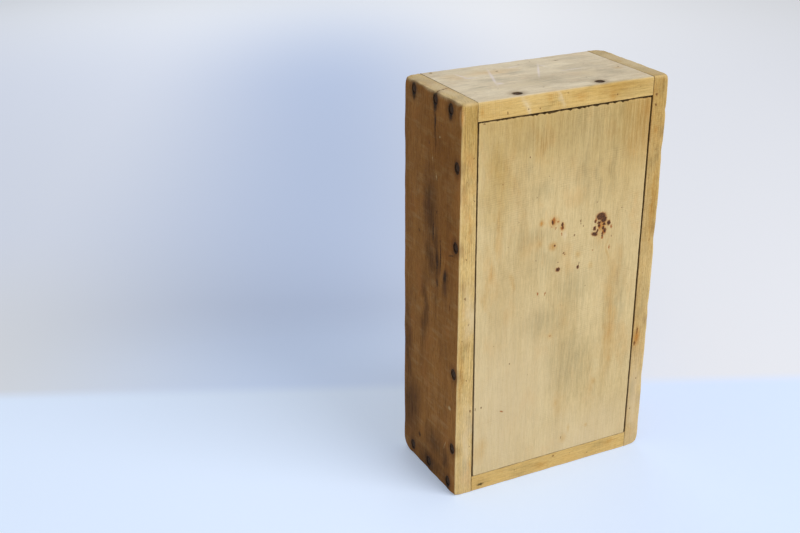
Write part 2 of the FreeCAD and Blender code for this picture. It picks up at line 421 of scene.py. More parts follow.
class Recipe:
    """Writes the nodes of one material or node group, from left to right."""

    def __init__(self, tree: bpy.types.NodeTree) -> None:
        """Starts on an empty node tree."""
        self.tree = tree
        self.column = 0

    @classmethod
    def for_material(cls, name: str) -> tuple[bpy.types.Material, "Recipe"]:
        """A new material, and the recipe that writes its nodes."""
        material = bpy.data.materials.new(name)
        material.use_nodes = True
        material.node_tree.nodes.clear()
        return material, cls(material.node_tree)

    def add(self, kind: str, **settings: object) -> Node:
        """Adds a node of a kind with its settings."""
        step = 180
        node = self.tree.nodes.new(kind)
        node.location = (self.column * step, 0)
        self.column += 1
        for name, value in settings.items():
            setattr(node, name, value)
        return node

    def feed(self, socket: Socket, value: Value) -> None:
        """Links a socket to another one, or sets its own value."""
        if isinstance(value, Socket):
            self.tree.links.new(value, socket)
        else:
            socket.default_value = value

    def feed_all(self, node: Node, given: dict[str, Value]) -> None:
        """Feeds several of a node's inputs by name."""
        for name, value in given.items():
            self.feed(node.inputs[name], value)

    def maths(self, operation: str, first: Value, second: Value = 0.0, third: Value = 0.0) -> Socket:
        """The result of one sum."""
        node = self.add("ShaderNodeMath", operation=operation)
        for socket, value in zip(node.inputs, (first, second, third)):
            self.feed(socket, value)
        return node.outputs[0]

    def vector(self, operation: str, first: Value, second: Value) -> Socket:
        """The result of one sum on vectors."""
        node = self.add("ShaderNodeVectorMath", operation=operation)
        self.feed(node.inputs[0], first)
        self.feed(node.inputs[1], second)
        return node.outputs["Value" if operation in ("LENGTH", "DISTANCE") else "Vector"]

    def scaled(self, vector: Value, amount: Value) -> Socket:
        """A vector times a number."""
        node = self.add("ShaderNodeVectorMath", operation="SCALE")
        self.feed(node.inputs[0], vector)
        self.feed(node.inputs["Scale"], amount)
        return node.outputs["Vector"]

    def ramp(
        self, value: Value, low: Value, high: Value, to_low: Value = 0.0, to_high: Value = 1.0
    ) -> Socket:
        """A smooth, clamped step from one value to another as a value goes from low to high."""
        node = self.add("ShaderNodeMapRange", interpolation_type="SMOOTHSTEP", clamp=True)
        steps = {"From Min": low, "From Max": high, "To Min": to_low, "To Max": to_high}
        self.feed_all(node, {"Value": value, **steps})
        return node.outputs["Result"]

    def mix(self, share: Value, first: Value, second: Value, blend: str = "MIX") -> Socket:
        """Two colours mixed by a share."""
        node = self.add("ShaderNodeMix", data_type="RGBA", blend_type=blend, clamp_factor=True)
        self.feed(node.inputs[0], share)
        self.feed(node.inputs[6], first)
        self.feed(node.inputs[7], second)
        return node.outputs[2]

    def laid(
        self, colour: Value, coat: Value, mask: Value, strength: Value = 1.0, blend: str = "MIX"
    ) -> Socket:
        """A colour with a coat laid over it where a mask shows, at some strength."""
        return self.mix(self.maths("MULTIPLY", mask, strength), colour, coat, blend)

    def weighed(self, first: Value, second: Value, share: float) -> Socket:
        """The sum of two values, of which the second counts for a share and the first for the rest."""
        return self.maths("MULTIPLY_ADD", first, 1 - share, self.maths("MULTIPLY", second, share))

    def mapped(
        self, vector: Value, place: tuple = (0, 0, 0), turn: tuple = (0, 0, 0), scale: tuple = (1, 1, 1)
    ) -> Socket:
        """A vector scaled, turned and moved."""
        node = self.add("ShaderNodeMapping", vector_type="POINT")
        self.feed_all(node, {"Vector": vector, "Location": place, "Rotation": turn, "Scale": scale})
        return node.outputs["Vector"]

    def noise(
        self, vector: Value, across: float, along: float, detail: float = 2.0, rough: float = 0.5
    ) -> Node:
        """A noise whose blots are so wide across the fibres and so long along them, in millimetres."""
        node = self.add("ShaderNodeTexNoise", noise_dimensions="3D")
        stretched = self.mapped(vector, scale=(1 / across, 1 / across, 1 / along))
        self.feed_all(node, {"Vector": stretched, "Scale": 1.0, "Detail": detail, "Roughness": rough})
        return node

    def blots(
        self, vector: Value, across: float, along: float, detail: float = 2.0, rough: float = 0.5
    ) -> Socket:
        """The grey values of such a noise."""
        return self.noise(vector, across, along, detail, rough).outputs["Fac"]

    def attribute(self, name: str) -> Socket:
        """A value that is stored on the mesh."""
        node = self.add("ShaderNodeAttribute", attribute_type="GEOMETRY", attribute_name=name)
        return node.outputs["Fac"]

    def bump(self, height: Value, strength: float, metres: float) -> Socket:
        """The normal of a surface that stands so many metres high where the height is 1."""
        node = self.add("ShaderNodeBump")
        self.feed_all(node, {"Strength": strength, "Distance": metres, "Height": height})
        return node.outputs["Normal"]

    def surface(self, given: dict[str, Value]) -> None:
        """Ends a material with a Principled shader, whose inputs are given by name."""
        shader = self.add("ShaderNodeBsdfPrincipled")
        self.feed_all(shader, given)
        self.feed(self.add("ShaderNodeOutputMaterial").inputs["Surface"], shader.outputs["BSDF"])

    def group(self, tree: bpy.types.NodeTree, **given: Value) -> Node:
        """A node group with its inputs fed, where an underscore stands for a space."""
        node = self.add("ShaderNodeGroup", node_tree=tree)
        for name, value in given.items():
            self.feed(node.inputs[name.replace("_", " ").capitalize()], value)
        return node


class EffectGroup:
    """A shader node group that several finishes use, built the first time that it is asked for."""

    name = ""
    inputs: dict[str, tuple] = {}
    outputs: tuple = ()

    @classmethod
    def tree(cls) -> bpy.types.NodeTree:
        """The group's node tree.

        Returns:
            The one tree of this group, new or already built.
        """
        known = bpy.data.node_groups.get(cls.name)
        if known:
            return known
        tree = bpy.data.node_groups.new(cls.name, "ShaderNodeTree")
        for name, (kind, default) in cls.inputs.items():
            socket = tree.interface.new_socket(name, in_out="INPUT", socket_type=kind)
            if default is not None:
                socket.default_value = default
        for name in cls.outputs:
            tree.interface.new_socket(name, in_out="OUTPUT", socket_type="NodeSocketFloat")
        recipe = Recipe(tree)
        start = recipe.add("NodeGroupInput")
        made = cls.write(recipe, {name: start.outputs[name] for name in cls.inputs})
        end = recipe.add("NodeGroupOutput")
        for name, socket in made.items():
            recipe.feed(end.inputs[name], socket)
        return tree

    @classmethod
    def write(cls, recipe: Recipe, given: dict) -> dict:
        """Writes the group's nodes and names its outputs."""
        raise NotImplementedError


class FibreGroup(EffectGroup):
    """Straight fine-grained wood: broad tone, growth rings, streaks and fibres."""

    name = "wood fibres"
    inputs = {
        "Coordinates": ("NodeSocketVector", None),
        "Ring spacing": ("NodeSocketFloat", 2.4),
        "Heart": ("NodeSocketVector", (40.0, 90.0, 0.0)),
    }
    outputs = ("Tone", "Rings", "Streaks", "Fibres", "Mottle")

    @classmethod
    def write(cls, recipe: Recipe, given: dict) -> dict:
        """Writes the group's nodes.

        Args:
            recipe: the group's recipe.
            given: the inputs' sockets by name; the fibres run along the coordinates' Z.

        Returns:
            The outputs' sockets by name, each from 0 to 1.
        """
        place = given["Coordinates"]
        bend_reach, faintest_ring = 16.0, 0.35
        late_start, late_full, late_end = 0.25, 0.86, 0.9
        low, high = 0.36, 0.64
        bend = recipe.scaled(recipe.noise(place, 34, 210, 2).outputs["Color"], bend_reach)
        from_heart = recipe.vector("ADD", recipe.vector("SUBTRACT", place, given["Heart"]), bend)
        flat = recipe.vector("MULTIPLY", from_heart, (1.0, 1.0, 0.0))
        turns = recipe.maths("DIVIDE", recipe.vector("LENGTH", flat, (0, 0, 0)), given["Ring spacing"])
        late = recipe.maths("FRACT", turns)
        late = recipe.maths(
            "MULTIPLY", recipe.ramp(late, late_start, late_full), recipe.ramp(late, 1.0, late_end)
        )
        year = recipe.add("ShaderNodeTexWhiteNoise", noise_dimensions="1D")
        recipe.feed(year.inputs["W"], recipe.maths("FLOOR", turns))
        rings = recipe.maths("MULTIPLY", late, recipe.ramp(year.outputs["Value"], 0.0, 1.0, faintest_ring))
        tone = recipe.blots(place, 26, 80, 4, 0.62)
        broad, narrow = recipe.blots(place, 5.5, 190, 3), recipe.blots(place, 1.5, 75, 3, 0.6)
        streaks = recipe.weighed(broad, narrow, 0.45)
        fibres = recipe.weighed(recipe.blots(place, 0.55, 11, 2), recipe.blots(place, 0.22, 3.2, 2), 0.4)
        return {
            "Tone": recipe.ramp(tone, 0.3, 0.7),
            "Rings": rings,
            "Streaks": recipe.ramp(streaks, low, high),
            "Fibres": recipe.ramp(fibres, low, high),
            "Mottle": recipe.ramp(recipe.blots(place, 1.0, 2.4, 5, 0.72), low, high),
        }


class ToolMarkGroup(EffectGroup):
    """Faint ripples that a saw and a plane left across the fibres, in patches."""

    name = "tool marks"
    inputs = {"Coordinates": ("NodeSocketVector", None), "Spacing": ("NodeSocketFloat", 1.6)}
    outputs = ("Marks", "Bands")

    @classmethod
    def write(cls, recipe: Recipe, given: dict) -> dict:
        """Writes the group's nodes.

        Args:
            recipe: the group's recipe.
            given: the inputs' sockets by name.

        Returns:
            The fine marks, and the broad pale bands between them, from 0 to 1.
        """
        place = recipe.mapped(given["Coordinates"], turn=(0.02, 0.05, 0.0))
        wave = recipe.add("ShaderNodeTexWave", wave_type="BANDS", bands_direction="Z", wave_profile="SIN")
        recipe.feed_all(wave, {
            "Vector": place, "Scale": recipe.maths("DIVIDE", 0.314, given["Spacing"]), "Distortion": 5.0,
            "Detail": 3.0, "Detail Scale": 0.35, "Detail Roughness": 0.6,
        })
        patches = recipe.ramp(recipe.blots(place, 30, 24, 2), 0.42, 0.66)
        fine = recipe.blots(place, 16, 0.9, 3, 0.65)
        ripples = recipe.maths("MULTIPLY", wave.outputs["Fac"], fine)
        bands = recipe.ramp(recipe.blots(place, 26, 4.5, 4, 0.6), 0.44, 0.66)
        bands = recipe.maths("MULTIPLY", bands, recipe.ramp(recipe.blots(place, 12, 10, 3, 0.6), 0.4, 0.6))
        return {"Marks": recipe.maths("MULTIPLY", recipe.ramp(ripples, 0.2, 0.6), patches), "Bands": bands}


class WeatherGroup(EffectGroup):
    """Grey weathering: soft blooms, and grey streaks that follow the fibres."""

    name = "grey weathering"
    inputs = {"Coordinates": ("NodeSocketVector", None), "Cover": ("NodeSocketFloat", 0.5)}
    outputs = ("Bloom", "Streaks")

    @classmethod
    def write(cls, recipe: Recipe, given: dict) -> dict:
        """Writes the group's nodes.

        Args:
            recipe: the group's recipe.
            given: the inputs' sockets by name; a cover of 1 leaves little bare.

        Returns:
            The two masks, from 0 to 1.
        """
        place = given["Coordinates"]
        start = recipe.ramp(given["Cover"], 0.0, 1.0, 0.72, 0.36)
        end = recipe.maths("ADD", start, 0.2)
        bloom = recipe.ramp(recipe.blots(place, 19, 34, 5, 0.66), start, end)
        streaks = recipe.ramp(recipe.blots(place, 2.6, 46, 4, 0.66), start, end)
        gathered = recipe.ramp(recipe.blots(place, 24, 70, 1), 0.38, 0.62)
        return {"Bloom": bloom, "Streaks": recipe.maths("MULTIPLY", streaks, gathered)}


class FleckGroup(EffectGroup):
    """Short brown flecks and pores along the fibres."""

    name = "flecks"
    inputs = {
        "Coordinates": ("NodeSocketVector", None),
        "Size": ("NodeSocketFloat", 0.5),
        "Cover": ("NodeSocketFloat", 0.3),
    }
    outputs = ("Flecks",)

    @classmethod
    def write(cls, recipe: Recipe, given: dict) -> dict:
        """Writes the group's nodes.

        Args:
            recipe: the group's recipe.
            given: the inputs' sockets by name; the size is a fleck's width in millimetres.

        Returns:
            The flecks' mask, from 0 to 1.
        """
        shape = recipe.mapped(given["Coordinates"], scale=(1.0, 1.0, 0.34))
        cell = recipe.add("ShaderNodeTexVoronoi", voronoi_dimensions="3D", feature="F1")
        finer = recipe.maths("DIVIDE", 0.24, given["Size"])
        recipe.feed_all(cell, {"Vector": recipe.scaled(shape, finer), "Scale": 1.0})
        split = recipe.add("ShaderNodeSeparateColor")
        recipe.feed(split.inputs[0], cell.outputs["Color"])
        chosen = recipe.ramp(split.outputs["Red"], recipe.maths("SUBTRACT", 1.0, given["Cover"]), 1.0)
        width = recipe.maths("MULTIPLY", recipe.ramp(split.outputs["Green"], 0.0, 1.0, 0.1, 0.26), chosen)
        inside = recipe.ramp(cell.outputs["Distance"], width, recipe.maths("MULTIPLY", width, 0.4))
        return {"Flecks": recipe.maths("MULTIPLY", inside, recipe.ramp(chosen, 0.0, 0.25))}


class MarkGroup(EffectGroup):
    """How far a point lies from the middle of one mark, where 1 is its outline."""

    name = "mark"
    inputs = {
        "Coordinates": ("NodeSocketVector", None),
        "Place": ("NodeSocketVector", (0.0, 0.0, 0.0)),
        "Tilt": ("NodeSocketVector", (0.0, 0.0, 0.0)),
        "Shrink": ("NodeSocketVector", (1.0, 1.0, 1.0)),
    }
    outputs = ("Off centre",)

    @classmethod
    def write(cls, recipe: Recipe, given: dict) -> dict:
        """Writes the group's nodes.

        Args:
            recipe: the group's recipe.
            given: the inputs' sockets by name; shrink is one over the mark's reach each way.

        Returns:
            The distance, in reaches.
        """
        off = recipe.vector("SUBTRACT", given["Coordinates"], given["Place"])
        turned = recipe.add("ShaderNodeVectorRotate", rotation_type="EULER_XYZ")
        recipe.feed_all(turned, {"Vector": off, "Rotation": given["Tilt"]})
        shrunk = recipe.vector("MULTIPLY", turned.outputs["Vector"], given["Shrink"])
        return {"Off centre": recipe.vector("LENGTH", shrunk, (0, 0, 0))}


class RustGroup(EffectGroup):
    """Old iron: scale, rust blooms and pits."""

    name = "rust"
    inputs = {"Coordinates": ("NodeSocketVector", None), "Cover": ("NodeSocketFloat", 0.5)}
    outputs = ("Bloom", "Pits")

    @classmethod
    def write(cls, recipe: Recipe, given: dict) -> dict:
        """Writes the group's nodes.

        Args:
            recipe: the group's recipe.
            given: the inputs' sockets by name.

        Returns:
            The masks of rust and of pits, from 0 to 1.
        """
        place = given["Coordinates"]
        start = recipe.ramp(given["Cover"], 0.0, 1.0, 0.7, 0.34)
        bloom = recipe.ramp(recipe.blots(place, 1.3, 1.3, 5, 0.7), start, recipe.maths("ADD", start, 0.16))
        pits = recipe.ramp(recipe.blots(place, 0.45, 0.45, 3, 0.6), 0.42, 0.66)
        return {"Bloom": bloom, "Pits": pits}


@dataclass(frozen=True)
class Stain:
    """How one kind of mark lies on the wood.

    Strength is how much of the wood it hides at its middle, softness the share of its reach over which it
    fades out, and streakiness the share of it that is broken up into streaks along the fibres.
    """

    colour: tuple
    strength: float
    softness: float
    blend: str
    streakiness: float


class MarkKind(Enum):
    """The kinds of mark on the wood, in the order that they are laid over each other."""

    # A broad multiplying tint: the front faces darker and yellower towards the top, and painted shade on
    # the right, where the key lamp lights them most.
    YELLOW = Stain((0.80, 0.70, 0.46, 1.0), 0.86, 1.0, "MULTIPLY", 0.15)
    PALE = Stain(tint(218, 201, 167), 0.6, 1.0, "MIX", 0.25)
    TAN = Stain((0.88, 0.70, 0.46, 1.0), 0.66, 1.0, "MULTIPLY", 0.5)
    GREY = Stain((0.62, 0.64, 0.64, 1.0), 0.55, 1.0, "MULTIPLY", 0.65)
    SHADOW = Stain((0.26, 0.22, 0.17, 1.0), 0.9, 1.0, "MULTIPLY", 0.35)
    WORN = Stain(tint(224, 198, 148), 0.75, 0.8, "MIX", 0.3)
    PAINT = Stain(tint(236, 224, 228), 0.6, 0.9, "MIX", 0.2)
    HALO = Stain((0.86, 0.56, 0.24, 1.0), 0.9, 0.95, "MULTIPLY", 0.3)
    BLACK = Stain(tint(32, 20, 8), 0.9, 0.7, "MIX", 0.25)
    BROWN = Stain(tint(104, 66, 34), 0.85, 0.5, "MIX", 0.1)
    RUST = Stain(tint(154, 84, 26), 0.92, 0.5, "MIX", 0.15)
    SCAB = Stain(tint(66, 42, 32), 0.96, 0.25, "MIX", 0.0)


@dataclass(frozen=True)
class Mark:
    """One stain, scab, smudge or scratch on a face of the box.

    The place is measured from the box's left, front and lower faces, as a maker would, and the sizes lie
    across and along the face; tilt is in degrees.
    """

    kind: MarkKind
    side: Side
    over: float
    up: float
    wide: float
    high: float
    tilt: float = 0.0

    def in_box(self, low: Vector, high: Vector) -> tuple[tuple, tuple, tuple]:
        """The mark's middle, tilt and shrink in the frame.

        Args:
            low: the box's lowest corner.
            high: the box's highest corner.

        Returns:
            Three vectors for the mark group.
        """
        depth_reach = 3.0
        across, along = {0: (1, 2), 1: (0, 2), 2: (0, 1)}[self.side.axis]
        middle, shrink, tilt = [0.0] * 3, [1 / depth_reach] * 3, [0.0] * 3
        middle[self.side.axis] = (low if self.side.way < 0 else high)[self.side.axis]
        middle[across] = low[across] + self.over
        middle[along] = low[along] + self.up
        shrink[across], shrink[along] = 2 / self.wide, 2 / self.high
        tilt[self.side.axis] = math.radians(self.tilt)
        return tuple(middle), tuple(tilt), tuple(shrink)


def spots(kind: MarkKind, side: Side, *sizes: tuple) -> tuple[Mark, ...]:
    """Several marks of one kind on one side.

    Args:
        kind: the kind of mark.
        side: the side of the box.
        sizes: for each mark how far over and up it lies, how wide and high it is, and its tilt if it
            has one.

    Returns:
        The marks.
    """
    return tuple(Mark(kind, side, *size) for size in sizes)


@dataclass(frozen=True)
class WoodTone:
    """The pale and the deep colour that one face of a board runs between."""

    pale: tuple
    deep: tuple


@dataclass(frozen=True)
class WoodFinish:
    """Bare old wood: its tones by face, its grain, what age and handling have done to it, and a dark brown
    in its joints that is partly dirt and partly painted shade in their gaps.
    """

    name: str
    grain: Grain
    outer: WoodTone
    edge: WoodTone
    inner: WoodTone
    ring_spacing: float = 2.2
    heart: tuple = (46.0, 120.0, 0.0)
    ring_strength: float = 0.16
    streak_strength: float = 0.3
    fibre_strength: float = 0.22
    tool_strength: float = 0.12
    weather_cover: float = 0.4
    weather_strength: float = 0.35
    edge_weather_strength: float = 0.3
    warm_strength: float = 0.25
    fleck_size: float = 0.5
    fleck_cover: float = 0.3
    fleck_strength: float = 0.55
    grime_and_shade_strength: float = 0.6
    wear_strength: float = 0.5
    outer_wear_strength: float = 0.3
    band_strength: float = 0.12
    edge_mottle: float = 0.5
    outer_mottle: float = 0.15
    nail_strength: float = 0.9
    marks: tuple = ()

    grey: tuple = tint(140, 134, 112)
    warm: tuple = tint(204, 154, 86)
    grime_and_shade: tuple = tint(84, 58, 34)
    # The dark brown of tool marks and of dirt in the joints, which also serves as painted shade in their
    # gaps.
    worn: tuple = tint(224, 200, 150)
    iron: tuple = tint(42, 25, 11)
    dark_fibre: tuple = (0.45, 0.4, 0.34, 1.0)
    light_fibre: tuple = (1.3, 1.3, 1.26, 1.0)
    fleck: tuple = tint(122, 84, 44)
    crust: tuple = tint(118, 74, 44)
    scab_rim: float = 0.6
    dull: float = 0.74
    smooth: float = 0.6
    sheen: float = 0.12
    grime_and_shade_dullness: float = 0.12
    relief: float = 0.00016
    relief_strength: float = 0.55

    def material(self) -> bpy.types.Material:
        """Writes the finish as a material.

        Returns:
            The material, which reads Object coordinates and the board's own stored distances.
        """
        material, recipe = Recipe.for_material(self.name)
        place = recipe.add("ShaderNodeTexCoord").outputs["Object"]
        box_mm = recipe.mapped(place, scale=(1 / MM,) * 3)
        wood_mm = recipe.mapped(place, turn=self.grain.turn, scale=(1 / MM,) * 3)
        fibres = recipe.group(
            FibreGroup.tree(), coordinates=wood_mm, ring_spacing=self.ring_spacing, heart=self.heart
        )
        weather = recipe.group(WeatherGroup.tree(), coordinates=wood_mm, cover=self.weather_cover)
        plane = recipe.group(ToolMarkGroup.tree(), coordinates=wood_mm).outputs
        tools = plane["Marks"]
        pores = recipe.group(
            FleckGroup.tree(), coordinates=wood_mm, size=self.fleck_size, cover=self.fleck_cover
        )
        flecks = pores.outputs["Flecks"]
        outside, inside = recipe.attribute("outer"), recipe.attribute("inner")

        colour = self.toned(recipe, fibres, outside, inside)
        colour = self.aged(recipe, colour, wood_mm, weather, outside)
        colour = recipe.laid(colour, self.grime_and_shade, tools, self.tool_strength)
        colour = recipe.laid(colour, self.worn, plane["Bands"], self.band_strength)
        colour = recipe.laid(colour, self.fleck, flecks, self.fleck_strength)
        colour, grime_and_shade = self.handled(recipe, colour, wood_mm, outside)
        colour, stained = self.stained(recipe, colour, box_mm, wood_mm)

        height: Value = 0.0
        for effect, rise in (
            (tools, 0.8), (fibres.outputs["Fibres"], 0.5), (flecks, -0.7),
            (fibres.outputs["Rings"], -0.3), (stained, 0.35),
        ):
            height = recipe.maths("MULTIPLY_ADD", effect, rise, height)
        rough = recipe.ramp(fibres.outputs["Fibres"], 0.0, 1.0, self.dull, self.smooth)
        rough = recipe.maths("MULTIPLY_ADD", grime_and_shade, self.grime_and_shade_dullness, rough)
        normal = recipe.bump(height, self.relief_strength, self.relief)
        recipe.surface(
            {"Base Color": colour, "Roughness": rough, "Normal": normal, "Specular IOR Level": self.sheen}
        )
        return material

    def toned(self, recipe: Recipe, fibres: Node, outside: Value, inside: Value) -> Socket:
        """The clean wood's colour.

        Args:
            recipe: the material's recipe.
            fibres: the fibre group's node.
            outside: the mask of the board's broad outer face.
            inside: the mask of the face inside the box.

        Returns:
            The colour with its tone, streaks, rings and fibres.
        """
        tone = recipe.weighed(fibres.outputs["Tone"], fibres.outputs["Streaks"], self.streak_strength)
        mottle = fibres.outputs["Mottle"]
        speckled = recipe.mix(self.edge_mottle, tone, mottle)
        planed = recipe.mix(self.outer_mottle, tone, mottle)
        faces = [
            recipe.mix(share, face.pale, face.deep)
            for share, face in ((speckled, self.edge), (planed, self.outer), (tone, self.inner))
        ]
        colour = recipe.mix(inside, recipe.mix(outside, faces[0], faces[1]), faces[2])
        colour = recipe.laid(colour, self.fleck, fibres.outputs["Rings"], self.ring_strength)
        for end, shade in ((0.0, self.dark_fibre), (1.0, self.light_fibre)):
            mask = recipe.ramp(fibres.outputs["Fibres"], 0.5, end)
            colour = recipe.laid(colour, shade, mask, self.fibre_strength, "MULTIPLY")
        return colour

    def aged(
        self, recipe: Recipe, colour: Value, wood_mm: Value, weather: Node, outside: Value
    ) -> Socket:
        """The wood with warm patches and grey weathering.

        Args:
            recipe: the material's recipe.
            colour: the clean wood.
            wood_mm: coordinates with the fibres along Z.
            weather: the weather group's node.
            outside: the mask of the board's broad outer face.

        Returns:
            The aged colour.
        """
        elsewhere = recipe.mapped(wood_mm, place=(70, 20, 45))
        warm = recipe.ramp(recipe.blots(elsewhere, 15, 30, 4, 0.6), 0.5, 0.72)
        colour = recipe.laid(colour, self.warm, warm, self.warm_strength)
        grey = recipe.maths("MAXIMUM", weather.outputs["Bloom"], weather.outputs["Streaks"])
        strength = recipe.ramp(outside, 0.0, 1.0, self.edge_weather_strength, self.weather_strength)
        return recipe.laid(colour, self.grey, grey, strength)

    def handled(self, recipe: Recipe, colour: Value, wood_mm: Value, outside: Value) -> tuple:
        """The wood with worn arrises, joints darkened by dirt and by painted shade in their gaps, and iron
        stains round its nails.

        Args:
            recipe: the material's recipe.
            colour: the aged wood.
            wood_mm: coordinates with the fibres along Z.
            outside: the mask of the board's broad outer face.

        Returns:
            The colour, and the mask of the dirt and painted shade.
        """
        worn_reach, dirt_and_shade_reach, halo_reach, stain_reach = (2.4, 0.5), (-0.1, -0.62), (8.5, 3.0), (3.9, 3.1)
        worn_break, dirt_and_shade_break, nail_break = 3.0, -1.2, 1.6
        breakup = recipe.blots(wood_mm, 2.2, 5.0, 4, 0.65)
        spread = recipe.maths("MULTIPLY_ADD", breakup, worn_break, -worn_break / 2)
        arris = recipe.maths("ADD", recipe.attribute("arris"), spread)
        kept = recipe.ramp(outside, 0.0, 1.0, self.wear_strength, self.outer_wear_strength)
        colour = recipe.laid(colour, self.worn, recipe.ramp(arris, *worn_reach), kept)
        # Dirt and painted shade: dark brown near the joints and over the faces that look into their gaps.
        joint = recipe.maths("MULTIPLY_ADD", breakup, dirt_and_shade_break, recipe.attribute("joint"))
        grime_and_shade = recipe.ramp(joint, *dirt_and_shade_reach)
        colour = recipe.laid(colour, self.grime_and_shade, grime_and_shade, self.grime_and_shade_strength)
        spread = recipe.maths("MULTIPLY_ADD", breakup, nail_break, -nail_break / 2)
        nail = recipe.maths("ADD", recipe.attribute("nail"), spread)
        halo, stain = recipe.ramp(nail, *halo_reach), recipe.ramp(nail, *stain_reach)
        colour = recipe.laid(colour, self.fleck, halo, self.nail_strength / 2, "MULTIPLY")
        return recipe.laid(colour, self.iron, stain, self.nail_strength), grime_and_shade

    def stained(self, recipe: Recipe, colour: Value, box_mm: Value, wood_mm: Value) -> tuple:
        """The wood with its own marks.

        Args:
            recipe: the material's recipe.
            colour: the wood so far.
            box_mm: coordinates of the box, in millimetres.
            wood_mm: coordinates with the fibres along Z.

        Returns:
            The colour, and a mask of the marks that stand on the wood as scabs.
        """
        shake_size, shake, drift_size, drift, large = 1.0, 2.2, 21.0, 20.0, 9.0
        rim_start, scab_size, crust_size = 1.75, 0.88, 0.9
        low, high = (corner / MM for corner in cad_box)
        half = (0.5, 0.5, 0.5)
        shaken, drifted = (
            recipe.vector("SUBTRACT", recipe.noise(box_mm, size, size, 3).outputs["Color"], half)
            for size in (shake_size, drift_size)
        )
        ragged = recipe.vector("ADD", box_mm, recipe.scaled(shaken, shake))
        reaches = [tuple(drift * (axis != flat) for axis in range(3)) for flat in range(3)]
        smeared = [
            recipe.vector("ADD", ragged, recipe.vector("MULTIPLY", drifted, reach)) for reach in reaches
        ]
        streaks = recipe.ramp(recipe.blots(wood_mm, 1.3, 30, 4, 0.62), 0.34, 0.64)
        scabs: Value = 0.0
        for kind in MarkKind:
            stain, nearest = kind.value, None
            for mark in (mark for mark in self.marks if mark.kind is kind):
                place, tilt, shrink = mark.in_box(low, high)
                soft = max(mark.wide, mark.high) > large and stain.softness >= 1.0
                node = recipe.group(
                    MarkGroup.tree(), coordinates=smeared[mark.side.axis] if soft else ragged,
                    place=place, tilt=tilt, shrink=shrink,
                )
                off = node.outputs["Off centre"]
                nearest = off if nearest is None else recipe.maths("MINIMUM", nearest, off)
            if nearest is None:
                continue
            coat = stain.colour
            if kind is MarkKind.SCAB:
                rim = recipe.ramp(nearest, rim_start, 1.0)
                colour = recipe.laid(colour, MarkKind.RUST.value.colour, rim, self.scab_rim)
                nearest = recipe.maths("MULTIPLY", nearest, scab_size)
                crusted = recipe.ramp(recipe.blots(box_mm, crust_size, crust_size, 4, 0.7), 0.46, 0.66)
                coat = recipe.mix(crusted, coat, self.crust)
            shown = recipe.ramp(nearest, 1.0 + stain.softness / 2, 1.0 - stain.softness)
            if stain.streakiness > 0:
                kept = recipe.ramp(streaks, 0.0, 1.0, 1 - stain.streakiness, 1.0)
                shown = recipe.maths("MULTIPLY", shown, kept)
            colour = recipe.laid(colour, coat, shown, stain.strength, stain.blend)
            if kind is MarkKind.SCAB:
                scabs = shown
        return colour, scabs


@dataclass(frozen=True)
class IronFinish:
    """Old iron wire: dark scale, with rust that gathers at the rim of a head."""

    name: str
    scale: tuple = tint(48, 31, 18)
    bright: tuple = tint(92, 70, 50)
    rust: tuple = tint(88, 52, 28)
    cover: float = 0.45
    metal: float = 0.05
    smooth: float = 0.62
    dull: float = 0.92
    sheen: float = 0.12
    rim_start: float = 0.62
    rim_end: float = 0.98
    rim_rust: float = 0.8
    pitting: float = 0.6
    relief: float = 0.0002
    relief_strength: float = 0.6

    def material(self) -> bpy.types.Material:
        """Writes the finish as a material.

        Returns:
            The material, which reads Object coordinates and the stored distance from a head's middle.
        """
        material, recipe = Recipe.for_material(self.name)
        place = recipe.add("ShaderNodeTexCoord").outputs["Object"]
        metal_mm = recipe.mapped(place, scale=(1 / MM,) * 3)
        rust = recipe.group(RustGroup.tree(), coordinates=metal_mm, cover=self.cover)
        rim = recipe.ramp(recipe.attribute("rim"), self.rim_start, self.rim_end, 0.0, self.rim_rust)
        bloom = recipe.maths("MAXIMUM", rust.outputs["Bloom"], rim)
        colour = recipe.mix(recipe.blots(metal_mm, 0.7, 0.7, 3), self.scale, self.bright)
        colour = recipe.laid(colour, self.scale, rust.outputs["Pits"], self.pitting)
        colour = recipe.mix(bloom, colour, self.rust)
        height = recipe.maths("MULTIPLY_ADD", rust.outputs["Pits"], -self.pitting, rust.outputs["Bloom"])
        recipe.surface({
            "Base Color": colour, "Roughness": recipe.ramp(bloom, 0.0, 1.0, self.smooth, self.dull),
            "Metallic": recipe.ramp(bloom, 0.0, 1.0, self.metal, 0.0), "Specular IOR Level": self.sheen,
            "Normal": recipe.bump(height, self.relief_strength, self.relief),
        })
        return material


